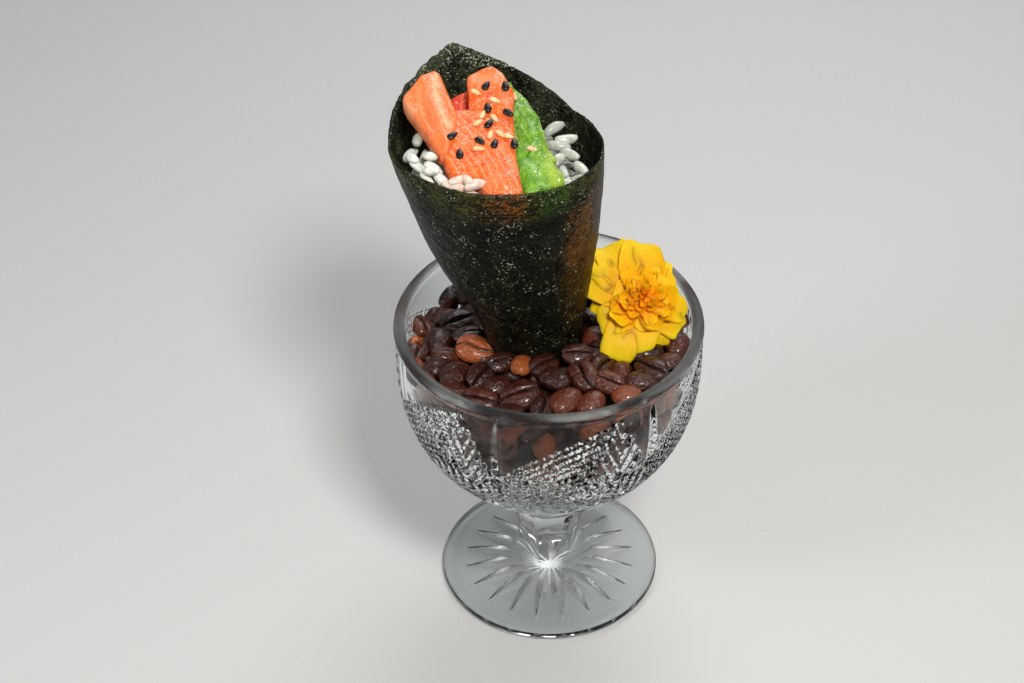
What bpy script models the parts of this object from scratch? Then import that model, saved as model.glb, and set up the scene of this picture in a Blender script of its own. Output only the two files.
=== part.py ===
"""A temaki hand roll standing in a stemmed cut-glass dish of coffee beans, with a marigold beside it.

Every size below is in millimetres and every angle in degrees, unless its name says otherwise; the
meshes are made in metres. The dish stands on the plane z = 0 with its axis on the Z axis. The front
faces -Y.
"""

import math
import random

import bmesh
import bpy
from mathutils import Matrix, Vector

MM = 0.001
CLEAR = 0.35
SHARP_ANGLE = math.radians(40)

# Dish
RIM_RADIUS = 45.0
RIM_HEIGHT = 99.75
RIM_BEAD = 1.75
WALL = 3.5
FOOT_RADIUS = 34.06
FOOT_EDGE = 3.0
FOOT_ROUNDING = ((0.9, 0.0), (0.0, 0.9), (0.1, 2.1), (1.0, FOOT_EDGE))
FOOT_SLOPE = ((25.0, 3.5), (17.5, 4.7))
COLLAR_RADIUS = 13.2
COLLAR_HEIGHT = 32.0
COLLAR_FLARE = 0.55
DISH_SIDES = 60
LINER_SIDES = 30
STEM_SIDES = 6

# Six-sided stem: height and corner radius
STEM = ((7.0, 12.8), (11.0, 10.4), (16.5, 9.3), (22.0, 9.5), (27.5, 11.0))

# Bell curve of the bowl
BELL_TOP = 90.0
BELL_FLOOR = 31.4
CAVITY_FLOOR = 39.0
BELL_POWER = 2.74
BELL_SQUARENESS = 1.163
BOWL_LEVELS = (36.5, 42.0, 49.0, 56.0, 63.0, 70.0, 76.0, 82.0, 88.0, 93.0, 96.0)
CAVITY_LEVELS = (93.0, 86.0, 77.0, 68.0, 59.0, 50.0, 44.0, 40.5)

# Cut pattern: clear fans between swaths of hobnail, and rays under the foot
FANS = 6
FAN_BEARING = -109.4
FAN_FOOT = 70.0
FAN_HEAD = 96.0
FAN_LEFT = 14.0
FAN_RIGHT = 50.0
FAN_DEPTH = 0.6
MITRE_DEPTH = 0.6
RAYS = 20
RAY_START = 7.5
RAY_END = 27.0
RAY_WIDTH = 2.2
RAY_DEPTH = 0.9

# Roll: height, radius and centre x at its stations; the centre's y is constant
ROLL_STATIONS = (
    (50.0, 3.4, -0.3),
    (72.0, 9.0, -2.4),
    (94.0, 14.4, -4.5),
    (108.0, 17.8, -6.0),
    (121.0, 22.2, -8.9),
    (140.0, 26.5, -11.3),
    (157.0, 29.3, -13.4),
    (180.0, 30.6, -15.5),
)
ROLL_Y = 3.0
ROLL_SIDES = 40
SHEET = 0.5
OVERLAP_STEP = 0.7
SEAM = (
    (50.0, -48.0), (94.0, -52.0), (117.0, -59.5), (133.0, -63.0), (141.0, -56.0), (157.0, -25.0),
)
MOUTH_HEIGHT = 157.7
MOUTH_TILT = 3.2
MOUTH_TILT_BEARING = -105.0
CORNER_RISE = 17.8
CORNER_BEARING = 113.0
CORNER_SPREAD = 67.0
EVEN_ROWS_TOP = 140.0
OUTER_ROWS = (50.0, 64.0, 80.0, 94.0, 105.0, 117.0, 128.0, 140.0, 146.0, 152.0, MOUTH_HEIGHT)
INNER_ROWS = (MOUTH_HEIGHT, 152.0, 146.0, 140.0, 128.0, 110.0, 90.0, 70.0, 55.0)
WAVE = 0.25
SEAM_GAP = 1.5

# Filling: the strips lie on a bed of rice that slopes up to the back, and falls away right of and behind them
FRONT_Y = -26.0
BED_HEIGHT = 150.5
BED_SLOPE = 0.27
BED_DROP = 1.6
BED_RIGHT = -2.6
BED_RIGHT_SLANT = 0.36
BED_BACK = 15.0
BED_LOWEST = 149.5
FILLING_REACH = 26.6
GRAIN_LENGTH = 6.2
GRAIN_WIDTH = 2.8
GRAIN_TRIES = 1500
GRAIN_SPACING = 4.1
GRAIN_LAYERS = (0.4, 0.9, 2.8, 5.0)
HEAPED_SIDE = -18.0
GRAIN_REACH = 4.6
GRAIN_TILT = 0.5
RICE_TIP = 56.0
RICE_SIDES = 24
RICE_PLAY = 0.6
STRIP_PLAY = 0.8

# Strips: outline seen from above, height of the top at FRONT_Y, and its slope to the back
SALMON_LEFT = (
    (-39.2, 6.2), (-30.4, 13.6), (-27.4, 8.0), (-25.2, 2.6), (-24.8, -6.0), (-21.5, -14.0),
    (-18.6, -21.5), (-26.0, -18.1), (-30.6, -11.6), (-35.6, -1.2), (-38.8, 3.6),
)
SALMON_FRONT = (
    (-24.6, 3.4), (-17.0, 4.2), (-9.4, 0.9), (-8.7, -8.0), (-7.2, -16.0), (-6.6, -23.2),
    (-14.8, -23.4), (-18.0, -20.4), (-21.0, -14.0), (-24.3, -6.0),
)
SALMON_BACK = (
    (-21.3, 14.0), (-15.0, 17.0), (-10.6, 14.4), (-9.3, 9.0), (-9.5, 1.6), (-17.0, 4.9), (-21.0, 4.5),
)
SALMON_INNER = ((-25.0, 4.3), (-21.8, 4.9), (-21.9, 13.0), (-27.0, 12.6))
AVOCADO = (
    (-8.6, 14.8), (-5.4, 9.8), (-3.3, 5.4), (-1.7, -0.1), (-0.3, -5.4), (1.4, -10.8), (4.2, -16.0),
    (3.6, -19.8), (-0.5, -22.2), (-6.0, -22.9), (-8.0, -8.0), (-8.7, 2.0),
)
SALMON_LEFT_TOP = (160.0, 0.31)
SALMON_FRONT_TOP = (159.8, 0.28)
SALMON_BACK_TOP = (160.9, 0.28)
SALMON_INNER_TOP = (153.5, 0.30)
AVOCADO_TOP = (158.6, 0.26)
CORNER_CUT = 0.2

# Strip from its foot up: share of its outline, and how far below the top
STRIP_EDGE = ((0.975, 1.6), (0.93, 0.5), (0.84, 0.0))
STRIP_FOOT = 0.97

# Sesame on the strips
SEED_LENGTH = 3.2
SEED_WIDTH = 1.9
SEED_THICKNESS = 1.1
SEED_RISE = 0.1
SEEDS_FRONT = (
    (-16.0, -2.2), (-22.8, -6.8), (-18.0, -7.9), (-14.1, -8.7), (-20.9, -11.2), (-11.4, -8.7),
    (-14.2, -0.2), (-18.6, -1.2), (-15.3, -5.6), (-12.2, -4.6), (-18.0, -10.6),
)
SEEDS_BACK = ((-17.0, 10.0), (-12.4, 9.5), (-16.1, 6.6), (-19.2, 7.9), (-14.2, 7.6), (-12.0, 5.0))
SEEDS_AVOCADO = ((-4.1, -10.0),)

# Coffee beans
BEAN_LENGTH = 10.8
BEAN_WIDTH = 8.0
BEAN_THICKNESS = 4.8
BEAN_LEVEL = 94.0
LEVEL_FALL = 0.2
FALL_BEARING = 140.0
CORE_BELOW_LEVEL = 2.6
CORE_FLOOR = 40.4
CORE_LEVELS = (41.0, 46.0, 52.0, 58.5, 65.0, 71.5, 78.0, 84.0)
CORE_PLAY = 0.2
BEAN_TRIES = 4000
BEAN_SPACING = 6.9
BEAN_TILT = 0.45
BEAN_RISE = (-1.1, 0.5)
SIDE_BUMP = 1.1
SOCKET_FLOOR = 49.3
SOCKET_SIDES = 15
SOCKET_PLAY = 1.35

# Marigold
FLOWER_CENTRE = (27.0, 0.2, 105.0)
FLOWER_FACING = (0.12, -0.56, 0.82)
OUTER_PETALS = 8
MIDDLE_PETALS = 5
INNER_PETALS = 4
OUTER_LENGTH = 18.0
SIDE_SQUEEZE = 0.24
MIDDLE_LENGTH = 11.5
INNER_LENGTH = 7.0
PETAL_THICKNESS = 1.0
CALYX_LENGTH = 8.0
CALYX_RADIUS = 3.2
PETAL_PLAY = 1.5
CALYX_PLAY = 2.5
CALYX_SIDES = 10
CALYX_RINGS = ((CALYX_RADIUS * 0.75, -CALYX_LENGTH + 1), (CALYX_RADIUS, -3.0), (6.5, 0.0), (5.5, 2.5))
CALYX_TIP = 3.6

# Petals of a ring: how many, length, width, height of the root, and rise of the middle
PETAL_RINGS = (
    (OUTER_PETALS, OUTER_LENGTH, 14.5, -0.4, 1.4),
    (MIDDLE_PETALS, MIDDLE_LENGTH, 10.0, 1.7, 1.2),
    (INNER_PETALS, INNER_LENGTH, 6.5, 3.2, -1.4),
)
PETAL_RUFFLE = 0.7


def clear_scene():
    """Removes the objects of the startup scene."""
    for old in list(bpy.data.objects):
        bpy.data.objects.remove(old, do_unlink=True)


def make_material(name, colour, roughness, transmission=0.0):
    material = bpy.data.materials.new(name)
    material.use_nodes = True
    shader = material.node_tree.nodes["Principled BSDF"]
    shader.inputs["Base Color"].default_value = (*colour, 1.0)
    shader.inputs["Roughness"].default_value = roughness
    shader.inputs["Metallic"].default_value = 0.0
    shader.inputs["Transmission Weight"].default_value = transmission
    return material


def make_object(name, vertices, faces, material):
    """An object of the closed skin given in millimetres, with its faces turned outwards."""
    mesh = bpy.data.meshes.new(name)
    mesh.from_pydata([Vector(point) * MM for point in vertices], [], faces)
    work = bmesh.new()
    work.from_mesh(mesh)
    bmesh.ops.recalc_face_normals(work, faces=work.faces)
    work.to_mesh(mesh)
    work.free()
    mesh.materials.append(material)
    mesh.shade_smooth()
    mesh.set_sharp_from_angle(angle=SHARP_ANGLE)
    made = bpy.data.objects.new(name, mesh)
    bpy.context.scene.collection.objects.link(made)
    return made


def between(stations, height, column):
    """A column of the stations at a height, on a smooth curve through them."""
    last = len(stations) - 1
    height = min(max(height, stations[0][0]), stations[last][0])
    here = next(i for i in range(last) if height <= stations[i + 1][0])
    low, high = stations[here], stations[here + 1]
    before = stations[max(here - 1, 0)]
    after = stations[min(here + 2, last)]
    span = high[0] - low[0]
    share = (height - low[0]) / span
    leave = (high[column] - before[column]) / (high[0] - before[0]) * span
    arrive = (after[column] - low[column]) / (after[0] - low[0]) * span
    square, cube = share**2, share**3
    return (
        (2 * cube - 3 * square + 1) * low[column]
        + (cube - 2 * square + share) * leave
        + (3 * square - 2 * cube) * high[column]
        + (cube - square) * arrive
    )


def ring(count, radius, height, centre=(0.0, 0.0), start=0.0):
    """Points round a centre at one height; the radius may be a function of the bearing."""
    points = []
    for step in range(count):
        bearing = start + 360 * step / count
        reach = radius(bearing) if callable(radius) else radius
        turn = math.radians(bearing)
        points.append((centre[0] + reach * math.cos(turn), centre[1] + reach * math.sin(turn), height))
    return points


def bridge(lower, upper):
    """Faces between two rings of vertex numbers, where the shorter count divides the longer."""
    if len(lower) == len(upper):
        count = len(lower)
        return [(lower[i], lower[(i + 1) % count], upper[(i + 1) % count], upper[i]) for i in range(count)]
    fine, coarse = (lower, upper) if len(lower) > len(upper) else (upper, lower)
    ratio = len(fine) // len(coarse)
    half = ratio // 2
    faces = []
    for corner, here in enumerate(coarse):
        there = coarse[(corner + 1) % len(coarse)]
        for step in range(ratio):
            first = fine[corner * ratio + step]
            second = fine[(corner * ratio + step + 1) % len(fine)]
            faces.append((first, second, here if step < half else there))
        if len(coarse) > 1:
            faces.append((here, fine[corner * ratio + half], there))
    return faces


def loft(rings):
    """Vertices and faces of a closed skin over rings of points, where a ring of one point is a tip."""
    vertices, faces, numbers = [], [], []
    for points in rings:
        numbers.append(range(len(vertices), len(vertices) + len(points)))
        vertices.extend(points)
    for lower, upper in zip(numbers, numbers[1:]):
        faces.extend(bridge(lower, upper))
    for end in (numbers[0], numbers[-1]):
        if len(end) > 1:
            faces.append(tuple(end))
    return vertices, faces


def islands(work):
    """The connected groups of faces of a bmesh."""
    left = set(work.faces)
    groups = []
    while left:
        group = [left.pop()]
        for face in group:
            for edge in face.edges:
                for other in edge.link_faces:
                    if other in left:
                        left.remove(other)
                        group.append(other)
        groups.append(group)
    return groups


def signed_volume(faces):
    """Six times the volume inside the faces, negative for a hollow."""
    total = 0.0
    for face in faces:
        first = face.verts[0].co
        for second, third in zip(face.verts[1:], face.verts[2:]):
            total += first.dot(second.co.cross(third.co))
    return total


def fuse(target, pieces):
    """Joins the pieces to the target as one body, filling sealed hollows and dropping loose scraps."""
    group = bpy.data.collections.new(target.name + "_pieces")
    bpy.context.scene.collection.children.link(group)
    for piece in pieces:
        bpy.context.scene.collection.objects.unlink(piece)
        group.objects.link(piece)
    joined = target.modifiers.new("fuse", "BOOLEAN")
    joined.operation = "UNION"
    joined.operand_type = "COLLECTION"
    joined.collection = group
    joined.solver = "MANIFOLD"
    mesh = bpy.data.meshes.new_from_object(target.evaluated_get(bpy.context.evaluated_depsgraph_get()))
    target.modifiers.clear()
    work = bmesh.new()
    work.from_mesh(mesh)
    groups = islands(work)
    body = max(groups, key=signed_volume)
    spare = [face for group_faces in groups if group_faces is not body for face in group_faces]
    bmesh.ops.delete(work, geom=spare, context="FACES")
    work.to_mesh(mesh)
    work.free()
    mesh.materials.clear()
    mesh.materials.append(target.data.materials[0])
    mesh.set_sharp_from_angle(angle=SHARP_ANGLE)
    target.data = mesh
    for piece in pieces:
        bpy.data.objects.remove(piece, do_unlink=True)
    bpy.data.collections.remove(group)


def blob(name, place, sizes, material, sides, levels):
    """An ellipsoid of few sides: sizes are its full length, width and thickness, place its matrix in mm."""
    mesh = bpy.data.meshes.new(name)
    work = bmesh.new()
    half = Matrix.Diagonal((sizes[0] / 2, sizes[1] / 2, sizes[2] / 2, 1.0))
    matrix = Matrix.Scale(MM, 4) @ place @ half
    bmesh.ops.create_uvsphere(work, u_segments=sides, v_segments=levels, radius=1.0, matrix=matrix)
    work.to_mesh(mesh)
    work.free()
    mesh.materials.append(material)
    mesh.shade_smooth()
    made = bpy.data.objects.new(name, mesh)
    bpy.context.scene.collection.objects.link(made)
    return made


def corners(piece):
    """The piece's corners in millimetres."""
    return [vertex.co / MM for vertex in piece.data.vertices]


# Dish


def bell(height, floor, radius):
    """Radius of the bowl's bell curve at a height."""
    share = min(max((height - floor) / (BELL_TOP - floor), 0.0), 1.0)
    return radius * (1 - (1 - share) ** BELL_POWER) ** (1 / BELL_SQUARENESS)


def cavity_radius(height):
    """Radius of the bowl's inside at a height."""
    return bell(height, CAVITY_FLOOR, RIM_RADIUS - WALL)


def fan_recess(bearing, height):
    """How far the cut pattern sinks into the bowl's outside."""
    rise = (height - FAN_FOOT) / (FAN_HEAD - FAN_FOOT)
    if not 0 < rise < 1:
        return 0.0
    pitch = 360 / FANS
    across = (bearing - FAN_BEARING + FAN_LEFT) % pitch - FAN_LEFT
    if not -FAN_LEFT * rise - 1 < across < FAN_RIGHT * rise**2 + 1:
        return 0.0
    return FAN_DEPTH + (MITRE_DEPTH if abs(across) < 1 else 0.0)


def bowl_ring(height):
    """The bowl's outside at a height, which narrows to the collar below and has the fans cut in it."""
    collar = COLLAR_RADIUS + COLLAR_FLARE * (height - COLLAR_HEIGHT)
    radius = max(bell(height, BELL_FLOOR, RIM_RADIUS - 0.1), min(collar, FOOT_RADIUS))
    return ring(DISH_SIDES, lambda bearing: radius - fan_recess(bearing, height), height, start=FAN_BEARING)


def rim_rings():
    """The rounded rim, from its outside over the top to its inside."""
    middle = RIM_RADIUS - RIM_BEAD
    rings = []
    for slant in (0, 50, 90, 130, 180):
        turn = math.radians(slant)
        level = RIM_HEIGHT - RIM_BEAD * (1 - math.sin(turn))
        rings.append(ring(DISH_SIDES, middle + RIM_BEAD * math.cos(turn), level, start=FAN_BEARING))
    return rings


def foot_rings():
    """The foot, from the edge of its underside to its shoulder."""
    rings = []
    for short, level in FOOT_ROUNDING:
        rings.append(ring(DISH_SIDES, FOOT_RADIUS - short, level, start=FAN_BEARING))
    for radius, level in FOOT_SLOPE:
        rings.append(ring(LINER_SIDES, radius, level, start=FAN_BEARING))
    return rings


def stem_rings():
    """The six-sided stem and the round collar over it."""
    rings = [ring(STEM_SIDES, radius, level, start=FAN_BEARING) for level, radius in STEM]
    rings.append(ring(LINER_SIDES, COLLAR_RADIUS, COLLAR_HEIGHT, start=FAN_BEARING))
    return rings


def ray_cutters():
    """Long lens-shaped grooves that spread from the middle of the foot's underside."""
    vertices, faces = [], []
    middle = (RAY_START + RAY_END) / 2
    for number in range(RAYS):
        turn = Matrix.Rotation(2 * math.pi * (number + 0.5) / RAYS, 4, "Z")
        base = len(vertices)
        for point in (
            (RAY_START, 0, -0.2), (middle, -RAY_WIDTH / 2, -0.2), (RAY_END, 0, -0.2),
            (middle, RAY_WIDTH / 2, -0.2), (middle, 0, RAY_DEPTH),
        ):
            vertices.append(turn @ Vector(point))
        faces.append((base + 3, base + 2, base + 1, base))
        for side in range(4):
            faces.append((base + side, base + (side + 1) % 4, base + 4))
    cutters = make_object("ray_cutters", vertices, faces, make_material("cutter", (0.5, 0.5, 0.5), 0.5))
    cutters.hide_render = True
    cutters.display_type = "WIRE"
    return cutters


def make_dish():
    """The whole glass as one body, with the rays cut into its foot."""
    rings = foot_rings() + stem_rings() + [bowl_ring(level) for level in BOWL_LEVELS] + rim_rings()
    for level in CAVITY_LEVELS:
        rings.append(ring(LINER_SIDES, cavity_radius(level), level, start=FAN_BEARING))
    rings.append([(0.0, 0.0, CAVITY_FLOOR)])
    glass = make_material("cut_glass", (0.92, 0.95, 0.94), 0.03, transmission=1.0)
    dish = make_object("glass", *loft(rings), glass)
    cut = dish.modifiers.new("rays", "BOOLEAN")
    cut.operation = "DIFFERENCE"
    cut.object = ray_cutters()


# Nori cone


def roll_radius(height):
    """Outer radius of the roll."""
    return between(ROLL_STATIONS, height, 1)


def roll_centre(height):
    """Centre of the roll, seen from above."""
    return (between(ROLL_STATIONS, height, 2), ROLL_Y)


def cone_radius(height):
    """Inner radius of the rolled sheet."""
    return roll_radius(height) - SHEET - OVERLAP_STEP / 2


def seam_bearing(height):
    """Bearing of the sheet's free edge, which swings to the right near the mouth."""
    if height <= SEAM[0][0]:
        return SEAM[0][1]
    for (low, before), (high, after) in zip(SEAM, SEAM[1:]):
        if height <= high:
            return before + (after - before) * (height - low) / (high - low)
    return SEAM[-1][1]


def mouth_height(bearing):
    """Height of the sheet's edge, with the sheet's corner standing up at the back."""
    tilt = MOUTH_TILT * math.cos(math.radians(bearing - MOUTH_TILT_BEARING))
    off_corner = abs((bearing - CORNER_BEARING + 180) % 360 - 180)
    return MOUTH_HEIGHT + tilt + CORNER_RISE * max(0.0, 1 - off_corner / CORNER_SPREAD)


def sheet_ring(nominal, outside):
    """A ring of the sheet; its rows are level up to EVEN_ROWS_TOP and then fan out to the mouth's edge."""
    share = max(0.0, (nominal - EVEN_ROWS_TOP) / (MOUTH_HEIGHT - EVEN_ROWS_TOP))
    seam = seam_bearing(nominal)
    points = []
    for step in range(ROLL_SIDES):
        wrapped = step / (ROLL_SIDES - 1)
        bearing = seam + SEAM_GAP + (360 - SEAM_GAP) * wrapped
        height = nominal
        if share > 0:
            height = EVEN_ROWS_TOP + share * (mouth_height(bearing) - EVEN_ROWS_TOP)
        wave = WAVE * math.sin(math.radians(3 * bearing + 4 * height))
        wave *= min(1.0, height / EVEN_ROWS_TOP) ** 2
        radius = cone_radius(height) + wave
        if outside:
            radius += SHEET + OVERLAP_STEP * wrapped
        centre = roll_centre(height)
        turn = math.radians(bearing)
        points.append((centre[0] + radius * math.cos(turn), centre[1] + radius * math.sin(turn), height))
    return points


def make_nori():
    """The rolled sheet: its outside from the tip up, then its inside from the mouth down."""
    rings = [sheet_ring(row, True) for row in OUTER_ROWS] + [sheet_ring(row, False) for row in INNER_ROWS]
    return make_object("nori", *loft(rings), make_material("nori", (0.012, 0.016, 0.008), 0.42))


# Filling


def bed_plane(y):
    """Height of the slope that the strips lie on."""
    return BED_HEIGHT + BED_SLOPE * (y - FRONT_Y)


def bed_height(x, y):
    """Height of the rice's top: a slope under the strips, lower beyond them."""
    beyond = max(0.0, x - BED_RIGHT + BED_RIGHT_SLANT * y) + max(0.0, y - BED_BACK)
    return max(bed_plane(y) - BED_DROP * beyond, min(BED_LOWEST, bed_plane(y)))


def inside(point, outline):
    """Whether a point lies inside an outline, both seen from above."""
    odd = False
    for (ax, ay), (bx, by) in zip(outline, outline[1:] + outline[:1]):
        if (ay > point[1]) != (by > point[1]) and point[0] < (bx - ax) * (point[1] - ay) / (by - ay) + ax:
            odd = not odd
    return odd


def rounded(outline):
    """The outline with each corner cut off at a small share of its two edges."""
    points = []
    for (ax, ay), (bx, by) in zip(outline, outline[1:] + outline[:1]):
        for share in (CORNER_CUT, 1 - CORNER_CUT):
            points.append((ax * (1 - share) + bx * share, ay * (1 - share) + by * share))
    return points


def kept_in_cone(x, y):
    """The point, drawn in where it would come too near the nori."""
    centre = Vector(roll_centre(BED_HEIGHT))
    offset = Vector((x, y)) - centre
    if offset.length > FILLING_REACH:
        offset *= FILLING_REACH / offset.length
    return centre + offset


def make_strip(name, outline, top, material):
    """A strip lying on the bed of rice, with a rounded upper edge."""
    front, slope = top
    points = [kept_in_cone(*point) for point in rounded(outline)]
    middle = sum(points, Vector((0, 0))) / len(points)
    foot = [middle + (point - middle) * STRIP_FOOT for point in points]
    rings = [[(place.x, place.y, bed_plane(place.y) + CLEAR) for place in foot]]
    for shrink, drop in STRIP_EDGE:
        level = [middle + (point - middle) * shrink for point in points]
        rings.append([(place.x, place.y, front + slope * (place.y - FRONT_Y) - drop) for place in level])
    return make_object(name, *loft(rings), material)


def add_seeds(strip, places, top, draw):
    """Sesame seeds half sunk in a strip's top."""
    pieces = []
    for number, (x, y) in enumerate(places):
        lean = math.atan(top[1])
        height = top[0] + top[1] * (y - FRONT_Y) + SEED_RISE
        place = (
            Matrix.Translation((x, y, height))
            @ Matrix.Rotation(lean, 4, "X")
            @ Matrix.Rotation(draw.uniform(0, math.pi), 4, "Z")
            @ Matrix.Rotation(math.pi / 2, 4, "Y")
        )
        sizes = (SEED_THICKNESS, SEED_WIDTH, SEED_LENGTH)
        pieces.append(blob(f"seed_{number}", place, sizes, strip.data.materials[0], 6, 3))
    fuse(strip, pieces)


def make_rice_core(material):
    """Rice packed in the cone, with an uneven top."""
    rings = [[(*roll_centre(RICE_TIP), RICE_TIP)]]
    for level in (58.0, 75.0, 94.0, 110.0, 128.0, 142.0):
        rings.append(ring(RICE_SIDES, cone_radius(level) - RICE_PLAY, level, roll_centre(level)))
    centre = roll_centre(BED_HEIGHT)
    reach = cone_radius(BED_HEIGHT - 3) - 2 * RICE_PLAY
    for share in (1.0, 0.86, 0.68, 0.48, 0.25):
        points = []
        for x, y, _ in ring(RICE_SIDES, reach * share, 0.0, centre):
            points.append((x, y, bed_height(x, y)))
        rings.append(points)
    rings.append([(*centre, bed_height(*centre))])
    return make_object("rice", *loft(rings), material)


def grain_fits(piece, outlines):
    """Whether a grain stays inside the sheet, below its edge and clear of the strips."""
    for corner in corners(piece):
        centre = roll_centre(corner.z)
        if math.dist(corner.xy, centre) > cone_radius(corner.z) - 2 * CLEAR:
            return False
        bearing = math.degrees(math.atan2(corner.y - centre[1], corner.x - centre[0]))
        if corner.z > mouth_height(bearing):
            return False
        if any(inside(corner.xy, outline) for outline in outlines):
            return False
    return True


def grown(outline, by):
    """The outline moved outwards from its middle."""
    points = [Vector(kept_in_cone(*point)) for point in outline]
    middle = sum(points, Vector((0, 0))) / len(points)
    return [tuple(point + (point - middle).normalized() * by) for point in points]


def make_rice(outlines):
    """The packed rice with loose grains on it, kept clear of the strips."""
    draw = random.Random(7)
    material = make_material("rice", (0.82, 0.82, 0.76), 0.35)
    core = make_rice_core(material)
    blocked = [grown(outline, STRIP_PLAY) for outline in outlines]
    centre = roll_centre(BED_HEIGHT)
    grains, taken = [], []
    for number in range(GRAIN_TRIES):
        reach = cone_radius(BED_HEIGHT) * math.sqrt(draw.random())
        turn = draw.uniform(0, 2 * math.pi)
        x = centre[0] + reach * math.cos(turn)
        y = centre[1] + reach * math.sin(turn)
        rise = draw.choice(GRAIN_LAYERS if x < HEAPED_SIDE else GRAIN_LAYERS[:2])
        height = bed_height(x, y) + rise
        place = (
            Matrix.Translation((x, y, height))
            @ Matrix.Rotation(draw.uniform(0, math.pi), 4, "Z")
            @ Matrix.Rotation(draw.uniform(-GRAIN_TILT, GRAIN_TILT) + math.pi / 2, 4, "Y")
        )
        if any(math.dist((x, y, height), other) < GRAIN_SPACING for other in taken):
            continue
        length = GRAIN_LENGTH * draw.uniform(0.88, 1.1)
        grain = blob(f"grain_{number}", place, (GRAIN_WIDTH, GRAIN_WIDTH, length), material, 6, 4)
        near_core = rise < 1 or any(math.dist((x, y, height), other) < GRAIN_REACH for other in taken)
        if near_core and grain_fits(grain, blocked):
            grains.append(grain)
            taken.append((x, y, height))
        else:
            bpy.data.objects.remove(grain, do_unlink=True)
    fuse(core, grains)


def make_filling():
    draw = random.Random(3)
    salmon = make_material("salmon", (0.86, 0.17, 0.03), 0.28)
    avocado = make_material("avocado", (0.20, 0.45, 0.03), 0.35)
    make_strip("salmon_left", SALMON_LEFT, SALMON_LEFT_TOP, salmon)
    front = make_strip("salmon_front", SALMON_FRONT, SALMON_FRONT_TOP, salmon)
    back = make_strip("salmon_back", SALMON_BACK, SALMON_BACK_TOP, salmon)
    make_strip("salmon_inner", SALMON_INNER, SALMON_INNER_TOP, salmon)
    green = make_strip("avocado", AVOCADO, AVOCADO_TOP, avocado)
    add_seeds(front, SEEDS_FRONT, SALMON_FRONT_TOP, draw)
    add_seeds(back, SEEDS_BACK, SALMON_BACK_TOP, draw)
    add_seeds(green, SEEDS_AVOCADO, AVOCADO_TOP, draw)
    make_rice((SALMON_LEFT, SALMON_FRONT, SALMON_BACK, SALMON_INNER, AVOCADO))


# Coffee beans


def bean_level(x, y):
    """Mean height of the heap's surface, which falls towards the back left."""
    turn = math.radians(FALL_BEARING)
    return BEAN_LEVEL - LEVEL_FALL * max(0.0, x * math.cos(turn) + y * math.sin(turn))


def make_bean_core(material):
    """The packed beans as one body with the roll's socket in it, and bean-sized bumps on its side."""
    draw = random.Random(11)
    rings = [[(0.0, 0.0, CORE_FLOOR)]]
    for number, level in enumerate(CORE_LEVELS):
        reach = cavity_radius(level) - CLEAR - CORE_PLAY
        bumps = [SIDE_BUMP * ((step + number) % 2) * draw.uniform(0.5, 1.0) for step in range(LINER_SIDES)]
        points = ring(LINER_SIDES, 1.0, level, start=FAN_BEARING)
        rings.append([(x * (reach - bump), y * (reach - bump), z) for (x, y, z), bump in zip(points, bumps)])
    reach = cavity_radius(BEAN_LEVEL - CORE_BELOW_LEVEL) - CLEAR - 2 * CORE_PLAY
    for share in (1.0, 0.78):
        top = ring(LINER_SIDES, reach * share, 0.0, start=FAN_BEARING)
        rings.append([(x, y, bean_level(x, y) - CORE_BELOW_LEVEL) for x, y, _ in top])
    centre = roll_centre(BEAN_LEVEL)
    points = ring(SOCKET_SIDES, roll_radius(BEAN_LEVEL) + SOCKET_PLAY, 0.0, centre, start=FAN_BEARING)
    rings.append([(x, y, bean_level(x, y) - CORE_BELOW_LEVEL) for x, y, _ in points])
    for level in (80.0, 66.0, SOCKET_FLOOR):
        reach = roll_radius(level) + SOCKET_PLAY
        rings.append(ring(SOCKET_SIDES, reach, level, roll_centre(level), start=FAN_BEARING))
    return make_object("coffee_beans", *loft(rings), material)


def flower_frame():
    """Matrix in mm whose Z axis runs out of the flower's face."""
    facing = Vector(FLOWER_FACING).normalized()
    return Matrix.Translation(FLOWER_CENTRE) @ facing.to_track_quat("Z", "Y").to_matrix().to_4x4()


def bean_fits(piece, to_flower):
    """Whether a bean stays clear of the glass, the roll and the flower."""
    for corner in corners(piece):
        if math.hypot(corner.x, corner.y) > cavity_radius(corner.z) - CLEAR - 2 * CORE_PLAY:
            return False
        if math.dist(corner.xy, roll_centre(corner.z)) < roll_radius(corner.z) + SOCKET_PLAY:
            return False
        local = to_flower @ corner
        reach = math.hypot(local.x / (1 - SIDE_SQUEEZE), local.y)
        if reach < OUTER_LENGTH + PETAL_PLAY and local.z > -2 * PETAL_PLAY:
            return False
        if reach < CALYX_RADIUS + CALYX_PLAY and local.z > -CALYX_LENGTH - 1.0:
            return False
    return True


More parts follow.
